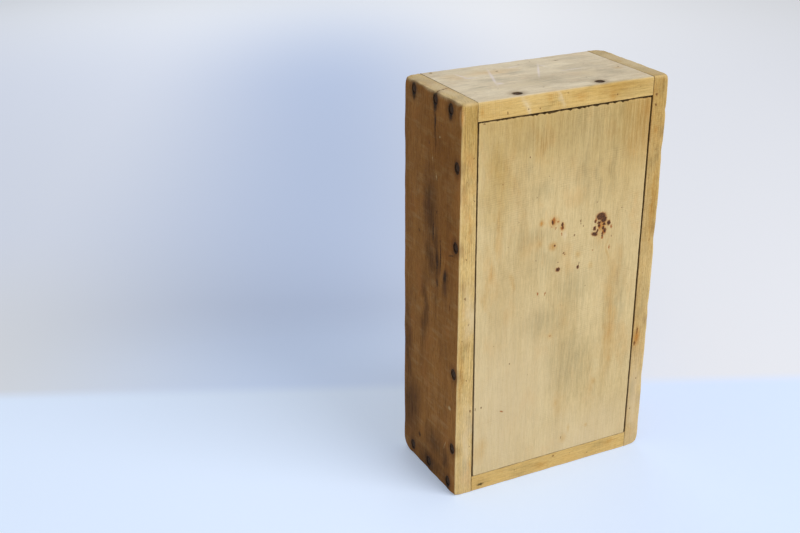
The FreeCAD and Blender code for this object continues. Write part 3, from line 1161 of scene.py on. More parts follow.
@dataclass
class Fasteners:
    """The wire nails, the brads and the lid's two pins, and the holes that they sit in."""

    nail_shank: float = 1.25
    nail_head_thickness: float = 0.7
    nail_point: float = 4.5
    plain_point: float = 2.4
    fit: float = 0.08
    mouth: float = 3.0
    dent: float = 0.16
    steps: int = 32
    nails: dict[str, list[Driven]] = field(default_factory=dict)
    wires: dict[str, list[Driven]] = field(default_factory=dict)

    def read(self) -> None:
        """Reads every fastener's place off the frame."""
        for node in frame["nodes"]:
            if node.endswith("_nails"):
                self.nails[node] = driven_in(node)
            elif node.endswith(("_brads", "_pin")):
                self.wires[node] = driven_in(node)

    def nail_profile(self, nail: Driven, room: float) -> list[tuple]:
        """A nail's outline from its head's middle to its point, or with some room, its hole's.

        Args:
            nail: the nail.
            room: how much wider than the nail the outline is; above nought it also opens at the surface.

        Returns:
            (radius, height) points, with the head's outer face at height nought.
        """
        head, shank, seat = nail.head_radius + room, self.nail_shank + room, self.nail_head_thickness
        shoulder = nail.length - self.nail_point
        body = [(head, seat), (shank, seat), (shank, shoulder), (0.0, nail.length + room)]
        if room > 0:
            return [(0.0, -self.mouth), (head, -self.mouth), *body]
        crown_sink, edge_sink = 0.26, 0.42
        crown = [(head * share, crown_sink * share**3) for share in (0.0, 0.24, 0.46, 0.66, 0.8, 0.9, 0.97)]
        return [*crown, (head, edge_sink), *body]

    def wire_profile(self, wire: Driven, room: float) -> list[tuple]:
        """The outline of a headless brad or pin, or with some room, its hole's."""
        radius = wire.head_radius + room
        body = [(radius, wire.length - self.plain_point), (0.0, wire.length + room)]
        if room > 0:
            return [(0.0, -self.mouth), (radius, -self.mouth), *body]
        struck_end = ((0.0, 0.0), (0.4, 0.02), (0.78, 0.06), (1.0, 0.32))
        return [*((radius * share, sink) for share, sink in struck_end), *body]

    def holes(self, nodes: list[str]) -> list[bmesh.types.BMesh]:
        """The holes of some groups of fasteners, as closed solids in place."""
        made = []
        for node in nodes:
            for nail in self.nails.get(node, []):
                made.append((nail, self.nail_profile(nail, self.fit)))
            for wire in self.wires.get(node, []):
                made.append((wire, self.wire_profile(wire, self.fit)))
        solids = []
        for item, profile in made:
            solid = spun(profile, self.steps)
            bmesh.ops.transform(solid, matrix=item.placing(), verts=solid.verts)
            solids.append(solid)
        return solids

    def forge(self, item: Driven, profile: list[tuple], seed: int) -> tuple[bmesh.types.BMesh, list[float]]:
        """One fastener with the dents of the hammer in its struck end.

        Args:
            item: the fastener.
            profile: its outline.
            seed: what makes its dents its own.

        Returns:
            The solid in place, and for each vertex how near it lies to the rim of the head.
        """
        struck, shank_rim = 0.35, 0.8
        solid = spun(profile, self.steps)
        waver = Waver(seed, item.head_radius * 0.9)
        points = np.array([vert.co for vert in solid.verts])
        near_face = np.clip(1 - points[:, 2] / struck, 0, 1)
        sunk = near_face * self.dent * (0.5 + 0.5 * np.tanh(waver.at(points)))
        for vert, sink in zip(solid.verts, sunk):
            vert.co.z += sink
        rim = np.hypot(points[:, 0], points[:, 1]) / item.head_radius
        rim[points[:, 2] > self.nail_head_thickness + struck] = shank_rim
        bmesh.ops.transform(solid, matrix=item.placing(), verts=solid.verts)
        return solid, list(rim)

    def build(self) -> None:
        """Makes every fastener, one piece for each group."""
        rusty = IronFinish("rusted nail iron").material()
        wire = IronFinish("old pin wire", bright=tint(120, 108, 96), cover=0.3, metal=0.6).material()
        for groups, shape, material, slot in (
            (self.nails, self.nail_profile, rusty, "nail_iron"),
            (self.wires, self.wire_profile, wire, "pin_wire"),
        ):
            for node, items in groups.items():
                solids, rims = [], []
                for number, item in enumerate(items):
                    seed = sum(map(ord, node)) + number
                    solid, rim = self.forge(item, shape(item, 0.0), seed)
                    solids.append(solid)
                    rims += rim
                mesh = joined(solids, node)
                set_values(mesh, "rim", np.array(rims))
                finished(mesh, node, f"{node}_driven", material)


@dataclass
class Board:
    """One board of the box: a squared piece of wood, worn by handling and holed by its fasteners."""

    node: str
    slot: str
    finish: WoodFinish
    outer: Side
    long_wear: dict[tuple[Side, Side], float]
    end_wear: dict[tuple[Side, Side], float]
    held_by: tuple = ()
    seed: int = 1
    crisp: float = 0.22
    waver_share: float = 0.22
    hollow: float = 0.12
    fine: float = 0.36
    coarse: float = 2.2
    close_places: dict[int, list] = field(default_factory=dict)
    steps_along: dict[int, float] = field(default_factory=dict)
    knocks: tuple = ()
    buried: tuple = ()
    butted: Side | None = None
    on_line: Side | None = None
    cutters: tuple = ()
    halo_stretch: float = 1.25

    def __post_init__(self) -> None:
        """Reads the board's box off the frame."""
        low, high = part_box(self.node)
        self.low, self.high = np.array(low) / MM, np.array(high) / MM

    def gap(self, points: np.ndarray, side: Side) -> np.ndarray:
        """How far points lie inside one side of the board's box."""
        edge = (self.low if side.way < 0 else self.high)[side.axis]
        return np.abs(points[:, side.axis] - edge)

    def gap_to_face(self, points: np.ndarray, side: Side) -> np.ndarray:
        """How far points lie inside one side of the board itself, which may follow the tapered line."""
        gap = self.gap(points, side)
        return np.abs(gap - np.abs(self.line_offset(points[:, 2]))) if side is self.on_line else gap

    def nearness(self, points: np.ndarray, side: Side, reach: float) -> np.ndarray:
        """How near points lie to one side of the board's box: 1 on it, and 0 from a reach away."""
        return np.clip(1 - self.gap(points, side) / reach, 0, 1)

    def blank(self) -> bpy.types.Mesh:
        """The board as sawn: its box, with stations close together where it is shaped finely."""
        rough = 1.0
        cuts = [
            stations(self.low[axis], self.high[axis], self.fine * rough,
                     self.steps_along.get(axis, self.coarse) * rough, self.close_places.get(axis, []))
            for axis in range(3)
        ]
        return gridded_block(cuts)

    def wear_long(self, points: np.ndarray) -> np.ndarray:
        """Rounds the four arrises that run along the fibres.

        Args:
            points: the board's vertices.

        Returns:
            The vertices, with each arris at its own wavering radius.
        """
        wave = 16.0
        uneven = 1 + self.waver_share * np.tanh(Waver(self.seed, wave).at(points))
        for (first, second), radius in self.arrises(self.long_wear, self.long_sides()):
            gaps = [self.gap(points, side) for side in (first, second)]
            worn = radius * uneven
            reach = [np.maximum(worn - gap, 0) for gap in gaps]
            share = self.rounded(*reach)
            for side, near in zip((first, second), reach):
                points[:, side.axis] -= side.way * near * (1 - share)
        return points

    @staticmethod
    def rounded(first: np.ndarray, second: np.ndarray) -> np.ndarray:
        """The share of its reach past two arris lines that a point keeps, so that the arris is round."""
        both = (first > 0) & (second > 0)
        return np.where(both, np.maximum(first, second) / np.maximum(np.hypot(first, second), TINY), 1.0)

    def wear_ends(self, points: np.ndarray) -> np.ndarray:
        """Rounds the arrises round the board's two ends.

        Args:
            points: the board's vertices, with the long arrises already worn.

        Returns:
            The vertices with worn ends.
        """
        wave, own_seed, softness = 9.0, self.seed + 50, 16.0
        uneven = 1 + self.waver_share * np.tanh(Waver(own_seed, wave).at(points))
        across = [axis for axis in range(3) if axis != self.finish.grain.value]
        middle, half = (self.low + self.high) / 2, (self.high - self.low) / 2
        corner = self.corner_radius(points, across)
        off = np.abs(points - middle)[:, across] - (half[across] - corner[:, None])
        beyond = np.maximum(off, 0)
        length = np.linalg.norm(beyond, axis=1)
        inset = corner - length - np.minimum(off.max(axis=1), 0)
        facing = np.where((off.min(axis=1) > 0)[:, None], beyond, off >= off.max(axis=1)[:, None])
        facing = facing / np.maximum(np.linalg.norm(facing, axis=1), TINY)[:, None]
        outwards = np.zeros_like(points)
        outwards[:, across] = facing * np.sign(points - middle)[:, across]
        for end in (side for side in Side if side.axis == self.finish.grain.value):
            weights, total = 0.0, 0.0
            for side in (side for side in Side if side.axis in across):
                weight = 1 / (self.gap(points, side) ** 4 + softness)
                total = total + weight * self.end_wear.get((end, side), self.crisp)
                weights = weights + weight
            worn = total / weights * uneven
            depth = self.gap(points, end)
            reach = [np.maximum(worn - inset, 0), np.maximum(worn - depth, 0)]
            share = self.rounded(*reach)
            points = points - outwards * (reach[0] * (1 - share))[:, None]
            points[:, end.axis] -= end.way * reach[1] * (1 - share)
        return points

    def long_sides(self) -> list[Side]:
        """The four faces that run along the fibres."""
        return [side for side in Side if side.axis != self.finish.grain.value]

    def arrises(self, wear: dict, sides: list[Side]) -> list[tuple]:
        """Every arris between two of some sides, with its radius."""
        pairs = [(a, b) for a in sides for b in sides if a.axis < b.axis]
        return [((a, b), wear.get((a, b), self.crisp)) for a, b in pairs]

    def corner_radius(self, points: np.ndarray, across: list[int]) -> np.ndarray:
        """The radius of the long arris nearest to each point."""
        middle = (self.low + self.high) / 2
        ways = np.where(points >= middle, 1, -1)
        radius = np.full(len(points), self.crisp)
        for (first, second), worn in self.arrises(self.long_wear, self.long_sides()):
            here = (ways[:, first.axis] == first.way) & (ways[:, second.axis] == second.way)
            radius[here] = worn
        return radius

    def shape(self, points: np.ndarray, fasteners: Fasteners) -> np.ndarray:
        """Gives the sawn block its worn shape, always inwards.

        Args:
            points: the blank's vertices.
            fasteners: the box's fasteners, whose heads have pulled the wood in.

        Returns:
            The shaped vertices.
        """
        broad_wave, fine_wave, fine_share = 34.0, 7.0, 0.5
        nail_reach, nail_sink = 4.2, 0.22
        start = points.copy()
        points = self.wear_ends(self.wear_long(points))
        middle, half = (self.low + self.high) / 2, (self.high - self.low) / 2
        for axis in range(3):
            seed = self.seed + 7 * axis
            uneven = Waver(seed + 3, broad_wave).at(start)
            uneven += fine_share * Waver(seed + 4, fine_wave).at(start)
            hollow = self.hollow * (0.55 + 0.45 * np.tanh(uneven))
            points[:, axis] -= np.clip((start[:, axis] - middle[axis]) / half[axis], -1, 1) * hollow
        for knock in self.knocks:
            points = knock.press(points)
        for nail in self.heads(fasteners):
            points = Knock(tuple(nail.head), nail_reach, nail_sink, tuple(nail.way)).press(points)
        if self.on_line:
            share = self.nearness(start, self.on_line, self.high[0] - self.low[0])
            points[:, 0] += self.line_offset(start[:, 2]) * share
        return points

    def line_offset(self, heights: np.ndarray) -> np.ndarray:
        """How far the left side board's tapered inner line stands from this board's box at each height."""
        lowest, highest = (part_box(node) for node in ("lower_end_board", "upper_end_board"))
        slope = (highest[0].x - lowest[0].x) / (highest[1].z - lowest[1].z)
        start = self.high[2] if self.on_line is Side.LEFT else self.low[2]
        return slope * (heights - start)

    def heads(self, fasteners: Fasteners) -> list[Driven]:
        """The nails whose heads lie in this board."""
        reach = 1.0
        found = []
        for node in self.held_by:
            for nail in fasteners.nails.get(node, []):
                head = np.array(nail.head)
                if (head > self.low - reach).all() and (head < self.high + reach).all():
                    found.append(nail)
        return found

    def store_distances(self, mesh: bpy.types.Mesh, fasteners: Fasteners) -> None:
        """Stores how near each vertex lies to worn arrises, joints and nails, and which face it is on."""
        points = points_of(mesh)
        normals = np.empty(len(points) * 3)
        mesh.vertices.foreach_get("normal", normals)
        normals = normals.reshape(-1, 3)
        far, torn_reach, faces_side, faces_box = 40.0, 2.6, 0.5, 0.7
        turn_start, turn_span = 0.55, 0.35
        arris, joint, nail = (np.full(len(points), far) for _ in range(3))
        pairs = [(a, b) for a in Side for b in Side if a.axis < b.axis]
        for first, second in pairs:
            off = np.hypot(self.gap_to_face(points, first), self.gap_to_face(points, second))
            worn = self.long_wear.get((first, second), 0)
            worn = worn or self.end_wear.get((first, second), 0) or self.end_wear.get((second, first), 0)
            if self.butted in (first, second):
                np.minimum(joint, off, out=joint)
            elif worn:
                np.minimum(arris, off, out=arris)
        for side in self.buried:
            np.minimum(joint, self.gap_to_face(points, side), out=joint)
            # Painted shade: faces by a let-in edge that look into its gap, and the torn faces of the
            # bottom's upper edge, are set on the joint so that the finish darkens them.
            looks_there = normals @ side.outward() > faces_side
            joint[looks_there & (self.gap_to_face(points, side) < torn_reach)] = 0.0
        if self.butted:
            low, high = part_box("bottom_panel")
            # Painted shade: the walls that look into the let-in bottom's gap are set on the joint too.
            looks_in = normals @ self.butted.outward() > faces_box
            joint[looks_in & (self.gap(points, Side.FRONT) < (high.y - low.y) / MM)] = 0.0
        along = self.finish.grain.value
        for head in self.heads(fasteners):
            away = points - np.array(head.head)
            away[:, along] /= self.halo_stretch
            np.minimum(nail, np.linalg.norm(away, axis=1), out=nail)
        facing = normals @ self.outer.outward()
        outer, inner = (np.clip((way * facing - turn_start) / turn_span, 0, 1) for way in (1, -1))
        for name, values in (
            ("arris", arris), ("joint", joint), ("nail", nail), ("outer", outer), ("inner", inner),
        ):
            set_values(mesh, name, values)

    def build(self, fasteners: Fasteners) -> bpy.types.Object:
        """Makes the board.

        Args:
            fasteners: the box's fasteners.

        Returns:
            The dressed board.
        """
        mesh = self.blank()
        set_points(mesh, self.shape(points_of(mesh), fasteners))
        solids = fasteners.holes(list(self.held_by)) + [cutter() for cutter in self.cutters]
        if solids:
            mesh = cut_away(mesh, joined(solids, "room"))
        self.store_distances(mesh, fasteners)
        return finished(mesh, self.node, f"{self.node}_worn", self.finish.material())


@dataclass
class Carcase:
    """The four boards that are nailed into a frame, and the bottom that is let in between them."""

    front_left: float = 1.0
    front_right: float = 1.4
    back_left: float = 2.4
    back_right: float = 1.8
    upper_front: float = 1.3
    upper_back: float = 2.0
    upper_left: float = 1.6
    upper_right: float = 1.8
    lower_front: float = 1.0
    lower_back: float = 1.4
    lower_left: float = 1.9
    lower_right: float = 4.0
    rim: float = 0.8
    bottom_arris: float = 0.5
    crisp_arris: float = 0.25
    torn_pitch: float = 1.8
    torn_deepest: float = 1.5

    side_outer: WoodTone = WoodTone(tint(176, 122, 60), tint(134, 88, 37))
    right_outer: WoodTone = WoodTone(tint(196, 158, 104), tint(164, 122, 70))
    side_edge: WoodTone = WoodTone(tint(216, 190, 134), tint(194, 162, 98))
    end_outer: WoodTone = WoodTone(tint(234, 220, 192), tint(210, 193, 164))
    end_edge: WoodTone = WoodTone(tint(214, 186, 124), tint(198, 162, 96))
    bottom_outer: WoodTone = WoodTone(tint(214, 195, 151), tint(192, 168, 120))
    inside: WoodTone = WoodTone(tint(204, 178, 130), tint(182, 150, 100))

    @staticmethod
    def at(over: float, deep: float, up: float) -> tuple:
        """A place that is measured from the box's left, front and lower faces."""
        corner = cad_box[0] / MM
        return (corner.x + over, corner.y + deep, corner.z + up)

    @staticmethod
    def span() -> tuple:
        """The box's width, depth and height."""
        return tuple((high - low) / MM for low, high in zip(*cad_box))

    def end_wear(self, side: Side, upper: float, lower: float) -> dict:
        """The wear round the two ends of a side board, with its own wear by its outer face."""
        s = Side
        return {
            (s.UPPER, side): upper,
            (s.UPPER, s.FRONT): self.upper_front,
            (s.UPPER, s.BACK): self.upper_back,
            (s.LOWER, side): lower,
            (s.LOWER, s.FRONT): self.lower_front,
            (s.LOWER, s.BACK): self.lower_back,
        }

    def side_knocks(self, over: float, way: int, dents: tuple, corners: tuple) -> tuple:
        """Knocks in a side board's front arris, and in its four outer corners.

        Args:
            over: where the board's outer face lies.
            way: one if inwards is to the right, and minus one if it is to the left.
            dents: how far up each knock in the arris lies, how far it spreads and how deep it is.
            corners: how far each knock in a corner spreads and how deep it is: the upper front one, the
                upper back one and then the lower ones.

        Returns:
            The knocks.
        """
        _, deep, top = self.span()
        arris = [Knock(self.at(over, 0, up), reach, depth, (way, 1, 0)) for up, reach, depth in dents]
        ends = [
            Knock(self.at(over, back, up), reach, depth, (way, -1 if back else 1, -1 if up else 1))
            for (back, up), (reach, depth) in zip(((0, top), (deep, top), (0, 0), (deep, 0)), corners)
        ]
        return (*arris, *ends)

    def left_side(self) -> Board:
        """The left side board, thicker at its lower end, a deeper brown on its outer face than the right
        side board, and streaked.
        """
        s, k = Side, MarkKind
        marks = (
            *spots(k.SHADOW, s.LEFT, (42, 214, 20, 60), (42, 176, 14, 34), (33, 184, 9, 76),
                   (36, 276, 4, 30), (68, 44, 30, 70), (38, 10, 50, 24), (76, 90, 12, 80),
                   (49, 132, 12, 60), (13, 24, 12, 24), (20, 168, 9, 26), (30, 30, 30, 26)),
            *spots(k.YELLOW, s.LEFT, (30, 262, 60, 60), (16, 200, 30, 70)),
            *spots(k.BLACK, s.LEFT, (67, 290, 5.6, 9), (36, 290.5, 5.8, 11), (14.8, 289, 5.4, 9),
                   (35.4, 280, 1.8, 13), (10.6, 4, 5, 7), (30.8, 176, 2.6, 18), (30.4, 162, 2.6, 8),
                   (19.5, 171, 4.5, 11), (26, 184, 1.5, 24), (37, 199, 1.6, 18), (57.7, 192.3, 1.4, 3, 30),
                   (55.4, 23.8, 4, 5), (11, 190, 8, 1.2, 20), (32.4, 214.6, 1.6, 2)),
            *spots(k.WORN, s.LEFT, (24, 300, 16, 2.6), (45, 300.2, 14, 2.6), (58, 300, 8, 2.2),
                   (76, 300, 12, 3), (6, 300, 8, 2.6), (1.0, 290.5, 3.4, 13), (9.5, 70.5, 4, 3.4),
                   (29, 270, 1.6, 1.8), (33, 240, 0.7, 6, 14), (16, 36, 0.6, 9, -24), (39, 252, 0.7, 5)),
            *spots(k.HALO, s.FRONT, (0.2, 290.5, 3.4, 14)),
            *spots(k.PALE, s.FRONT, (8, 40, 12, 80), (8, 150, 10, 40)),
            *spots(k.BROWN, s.UPPER, (6.2, 37.6, 13.5, 1.5, -12)),
            *spots(k.WORN, s.UPPER, (1.2, 24, 3.4, 18), (1, 46, 3, 16), (1.4, 76, 3.4, 12), (1.4, 6, 4, 8),
                   (6, 1.6, 9, 3.4)),
            *spots(k.BROWN, s.LEFT, (18.7, 161, 3, 13), (32.6, 214.7, 1.8, 2.4), (26.8, 195, 2.6, 1.6),
                   (44, 262, 1.8, 3), (27, 279, 1.3, 1.3), (63, 53, 3, 4), (50, 236, 1, 1.4),
                   (61, 233, 1, 1.6), (12, 150, 1.2, 5), (72, 128, 1.2, 2)),
            *spots(k.GREY, s.LEFT, (28.8, 268, 6, 20), (36, 66, 10, 18)),
            *spots(k.TAN, s.FRONT, (0.6, 291, 3, 14), (12, 22, 6, 14), (9, 210, 5, 40), (4, 100, 5, 60)),
            *spots(k.YELLOW, s.FRONT, (7, 300, 40, 110), (12, 282, 12, 24)),
            *spots(k.GREY, s.FRONT, (8, 286, 16, 30), (8, 272, 5, 12), (7, 244, 6, 12), (6, 24, 9, 20),
                   (7, 120, 7, 22), (9, 60, 6, 18), (5, 168, 6, 20)),
            *spots(k.BROWN, s.FRONT, (5.5, 160.7, 1.4, 2.4, 15), (11.8, 69.8, 1.2, 3), (10, 262, 0.9, 1.4),
                   (5, 246, 0.8, 1.2), (11, 232, 0.8, 1.6), (6, 190, 0.8, 1.2), (9, 140, 0.8, 1.5),
                   (4, 128, 1, 1), (8, 96, 0.9, 1.6), (12, 40, 0.8, 1.3)),
            *spots(k.GREY, s.UPPER, (8, 16, 8, 10), (7, 60, 8, 16)),
            *spots(k.PALE, s.UPPER, (7, 40, 16, 90)),
        )
        finish = WoodFinish(
            "left side wood", Grain.UPRIGHT, self.side_outer, self.side_edge, self.inside,
            heart=(-190.0, 20.0, 0.0), ring_strength=0.18, streak_strength=0.42, fibre_strength=0.42,
            weather_cover=0.4, weather_strength=0.5, edge_weather_strength=0.2, warm_strength=0.3,
            fleck_cover=0.55, fleck_strength=0.6, grey=tint(96, 68, 38), warm=tint(180, 114, 54),
            outer_wear_strength=0.04, outer_mottle=0.3, marks=marks,
        )
        dips = (
            (14.6, 3.0, 0.5), (24, 5.0, 0.5), (36.2, 2.4, 1.5), (46, 6.0, 0.5), (56, 4.0, 0.8),
            (67, 2.2, 0.9), (76, 6.0, 1.4),
        )
        scallops = tuple(
            Knock(self.at(0, deep, 300), reach, depth, (1, 0, -1.2)) for deep, reach, depth in dips
        )
        dents = ((281, 4, 0.5), (233, 6, 0.4), (188, 3, 0.35), (150, 8, 0.4), (96, 5, 0.35), (41, 4, 0.3))
        knocks = self.side_knocks(0, 1, dents, ((3.4, 1.3), (3.4, 0.9), (3.0, 0.8), (5.0, 1.8)))
        return Board(
            "left_side_board", "side_wood", finish, s.LEFT,
            {(s.LEFT, s.FRONT): self.front_left, (s.LEFT, s.BACK): self.back_left,
             (s.RIGHT, s.BACK): self.rim},
            self.end_wear(s.LEFT, self.upper_left, self.lower_left),
            held_by=("left_upper_corner_nails", "left_lower_corner_nails", "left_bottom_nails"), seed=11,
            steps_along={1: 1.5, 2: 2.0}, knocks=scallops + knocks, butted=s.RIGHT,
            on_line=s.RIGHT, cutters=(self.top_split,),
        )

    def right_side(self) -> Board:
        """The right side board, rounded at its lower corner."""
        s, k = Side, MarkKind
        edge = WoodTone(tint(206, 182, 130), tint(184, 152, 96))
        marks = (
            # Painted shade: the right board's front darkened towards the top against the key lamp's light.
            *spots(k.YELLOW, s.FRONT, (160, 300, 40, 190), (164, 210, 16, 90)),
            *spots(k.PALE, s.FRONT, (160, 40, 16, 100)),
            *spots(k.TAN, s.FRONT, (158, 97, 11, 34), (158.7, 260.6, 4, 6), (154, 288, 6, 12),
                   (163, 200, 4, 60), (156, 94, 7, 12)),
            *spots(k.HALO, s.FRONT, (156.8, 96, 6.4, 15)),
            *spots(k.BROWN, s.FRONT, (155.4, 91.4, 2.2, 4), (157, 102, 1.4, 6), (156.5, 286.7, 2, 2.6, 30),
                   (156.5, 279.3, 1.6, 2.6, 30), (160, 246, 0.9, 1.4), (156, 225, 0.9, 1.2),
                   (161, 176, 0.9, 2), (157, 150, 0.8, 1.2), (160, 60, 1, 1.6), (156, 34, 1, 1)),
            *spots(k.GREY, s.FRONT, (163, 290, 6, 20), (158, 236, 8, 20), (160, 130, 8, 30),
                   (158, 50, 8, 24)),
            *spots(k.GREY, s.UPPER, (160, 70, 9, 12), (158, 20, 8, 14)),
            *spots(k.PALE, s.UPPER, (160, 40, 16, 90)),
            *spots(k.TAN, s.UPPER, (157, 45.2, 3, 4)),
            *spots(k.SHADOW, s.RIGHT, (48, 120, 16, 70), (22, 240, 12, 50), (66, 40, 14, 50)),
            *spots(k.BLACK, s.RIGHT, (52, 204, 3, 16), (34, 60, 2.6, 9)),
            *spots(k.GREY, s.RIGHT, (60, 262, 9, 22)),
            *spots(k.BROWN, s.RIGHT, (18, 150, 2, 4), (60, 120, 1.4, 1.8), (40, 262, 1.2, 1.6)),
            *spots(k.WORN, s.RIGHT, (68, 172, 5, 7), (30, 100, 0.8, 9, 18)),
        )
        finish = WoodFinish(
            "right side wood", Grain.UPRIGHT, self.right_outer, edge, self.inside, heart=(240.0, 60.0, 0.0),
            ring_strength=0.16, streak_strength=0.55, fibre_strength=0.34, weather_cover=0.4,
            weather_strength=0.4, edge_weather_strength=0.28, warm_strength=0.3, fleck_cover=0.45,
            fleck_strength=0.6, marks=marks,
        )
        dents = ((274, 2.4, 0.5), (244, 7, 0.4), (176, 6, 0.5), (120, 5, 0.35), (60, 8, 0.5))
        corners = ((3.0, 0.9), (4.0, 1.4), (4.0, 1.2), (4.0, 1.2))
        return Board(
            "right_side_board", "side_wood", finish, s.RIGHT,
            {(s.RIGHT, s.FRONT): self.front_right, (s.RIGHT, s.BACK): self.back_right,
             (s.LEFT, s.BACK): self.rim},
            self.end_wear(s.RIGHT, self.upper_right, self.lower_right),
            held_by=("right_upper_corner_nails", "right_lower_corner_nails", "right_bottom_nails"), seed=23,
            steps_along={1: 1.6, 2: 2.0}, close_places={2: [274.0]},
            knocks=self.side_knocks(self.span()[0], -1, dents, corners),
            butted=s.LEFT,
        )

    def upper_end(self) -> Board:
        """The upper end board: a pale, greyed top with smudges and scratches of old paint."""
        s, k = Side, MarkKind
        marks = (
            *spots(k.GREY, s.UPPER, (85, 28, 40, 26), (55, 41, 34, 9), (93, 61, 16, 12), (134, 70, 18, 9),
                   (118, 44, 30, 20), (104, 16, 40, 10), (72, 54, 16, 12), (30, 30, 16, 12),
                   (134, 24, 20, 14)),
            *spots(k.TAN, s.UPPER, (60, 62, 40, 12), (146, 33, 10, 8), (28, 60, 20, 20)),
            *spots(k.PAINT, s.UPPER, (33.9, 60.5, 2.4, 16, -12), (37.3, 54.2, 12, 2.2, 14),
                   (51.5, 48.3, 2.4, 42, 21.5), (48, 33, 6, 5), (90.6, 50.6, 1.7, 38, 31),
                   (113.4, 42.3, 22, 1.5), (78, 66, 12, 1.6, -8), (100, 60, 1.5, 10, -20)),
            *spots(k.PALE, s.UPPER, (60, 24, 40, 12), (120, 28, 24, 10), (50, 66, 40, 10)),
            *spots(k.BROWN, s.UPPER, (62.8, 61.4, 2.6, 1.6), (117, 68.6, 4.6, 1.6), (146.5, 33.4, 2, 1.8),
                   (70, 12, 1, 1.4), (98, 74, 1, 1), (130, 52, 1, 1), (40, 22, 1.1, 1), (86, 70, 1.1, 1),
                   (110, 20, 1, 1.2)),
            *spots(k.GREY, s.FRONT, (101, 298, 16, 5), (70, 292, 20, 6), (140, 292, 60, 22)),
            *spots(k.BROWN, s.FRONT, (35, 289.7, 1.1, 2.6), (51, 290, 1, 1.4), (60, 289.4, 0.8, 1),
                   (82, 297.5, 0.8, 1), (123, 291, 1, 1.2), (142, 294, 0.9, 1)),
            *spots(k.TAN, s.FRONT, (68, 296, 6, 7, 20), (15.5, 293, 2.6, 8), (118, 292, 10, 8, 20),
                   (94, 294, 8, 10, 20)),
            *spots(k.PALE, s.FRONT, (50, 293, 5, 16, 30), (76, 294, 3, 14, 30)),
            # Painted shade: the right part of the upper end's front darkened against the key lamp's light.
            *spots(k.YELLOW, s.FRONT, (120, 298, 70, 18)),
        )
        finish = WoodFinish(
            "upper end wood", Grain.ACROSS, self.end_outer, self.end_edge, self.inside,
            heart=(-150.0, 35.0, 0.0), ring_strength=0.08, streak_strength=0.34, fibre_strength=0.24,
            weather_cover=0.5, weather_strength=0.3, edge_weather_strength=0.1, warm_strength=0.16,
            fleck_cover=0.16, fleck_strength=0.4, wear_strength=0.3, nail_strength=0.75, edge_mottle=0.3,
            grey=tint(156, 142, 124), warm=tint(214, 168, 116), marks=marks,
        )
        return Board(
            "upper_end_board", "end_wood", finish, s.UPPER,
            {(s.FRONT, s.UPPER): self.upper_front, (s.BACK, s.UPPER): self.upper_back,
             (s.BACK, s.LOWER): self.rim}, {},
            held_by=("left_upper_corner_nails", "right_upper_corner_nails", "upper_bottom_nails",
                     "upper_stop_brads", "upper_lid_pin"),
            seed=37, steps_along={0: 2.0, 1: 1.6}, buried=(s.LEFT, s.RIGHT), butted=s.LOWER, on_line=s.LEFT,
            halo_stretch=1.15,
        )

    def lower_end(self) -> Board:
        """The lower end board, which the box stands on."""
        s, k = Side, MarkKind
        marks = (
            *spots(k.GREY, s.FRONT, (24, 5, 14, 9), (60, 6, 30, 8), (128, 7, 24, 8)),
            *spots(k.BLACK, s.FRONT, (22, 4.4, 6, 2.4)),
            *spots(k.BROWN, s.FRONT, (86.4, 10.7, 2.6, 1.3), (52, 8, 1, 0.8), (118, 5, 0.9, 0.9),
                   (102, 9, 0.8, 0.8)),
            *spots(k.TAN, s.FRONT, (74, 5, 20, 6), (140, 6, 12, 8)),
            *spots(k.GREY, s.LOWER, (60, 30, 40, 16), (110, 52, 30, 14)),
            *spots(k.TAN, s.LOWER, (84, 60, 14, 8)),
            *spots(k.BROWN, s.LOWER, (126, 22, 4, 3)),
        )
        finish = WoodFinish(
            "lower end wood", Grain.ACROSS, self.end_outer, self.end_edge, self.inside,
            heart=(160.0, -45.0, 0.0), ring_strength=0.1, streak_strength=0.34, fibre_strength=0.26,
            weather_cover=0.44, weather_strength=0.4, edge_weather_strength=0.16, warm_strength=0.14,
            fleck_cover=0.26, fleck_strength=0.45, nail_strength=0.75, marks=marks,
        )
        return Board(
            "lower_end_board", "end_wood", finish, s.LOWER,
            {(s.FRONT, s.LOWER): self.lower_front, (s.BACK, s.LOWER): self.lower_back,
             (s.BACK, s.UPPER): self.rim}, {},
            held_by=("left_lower_corner_nails", "right_lower_corner_nails", "lower_bottom_nails",
                     "lower_stop_brads", "lower_lid_pin"),
            seed=41, steps_along={0: 2.0, 1: 1.6}, buried=(s.LEFT, s.RIGHT), butted=s.UPPER, on_line=s.LEFT,
            halo_stretch=1.15,
        )

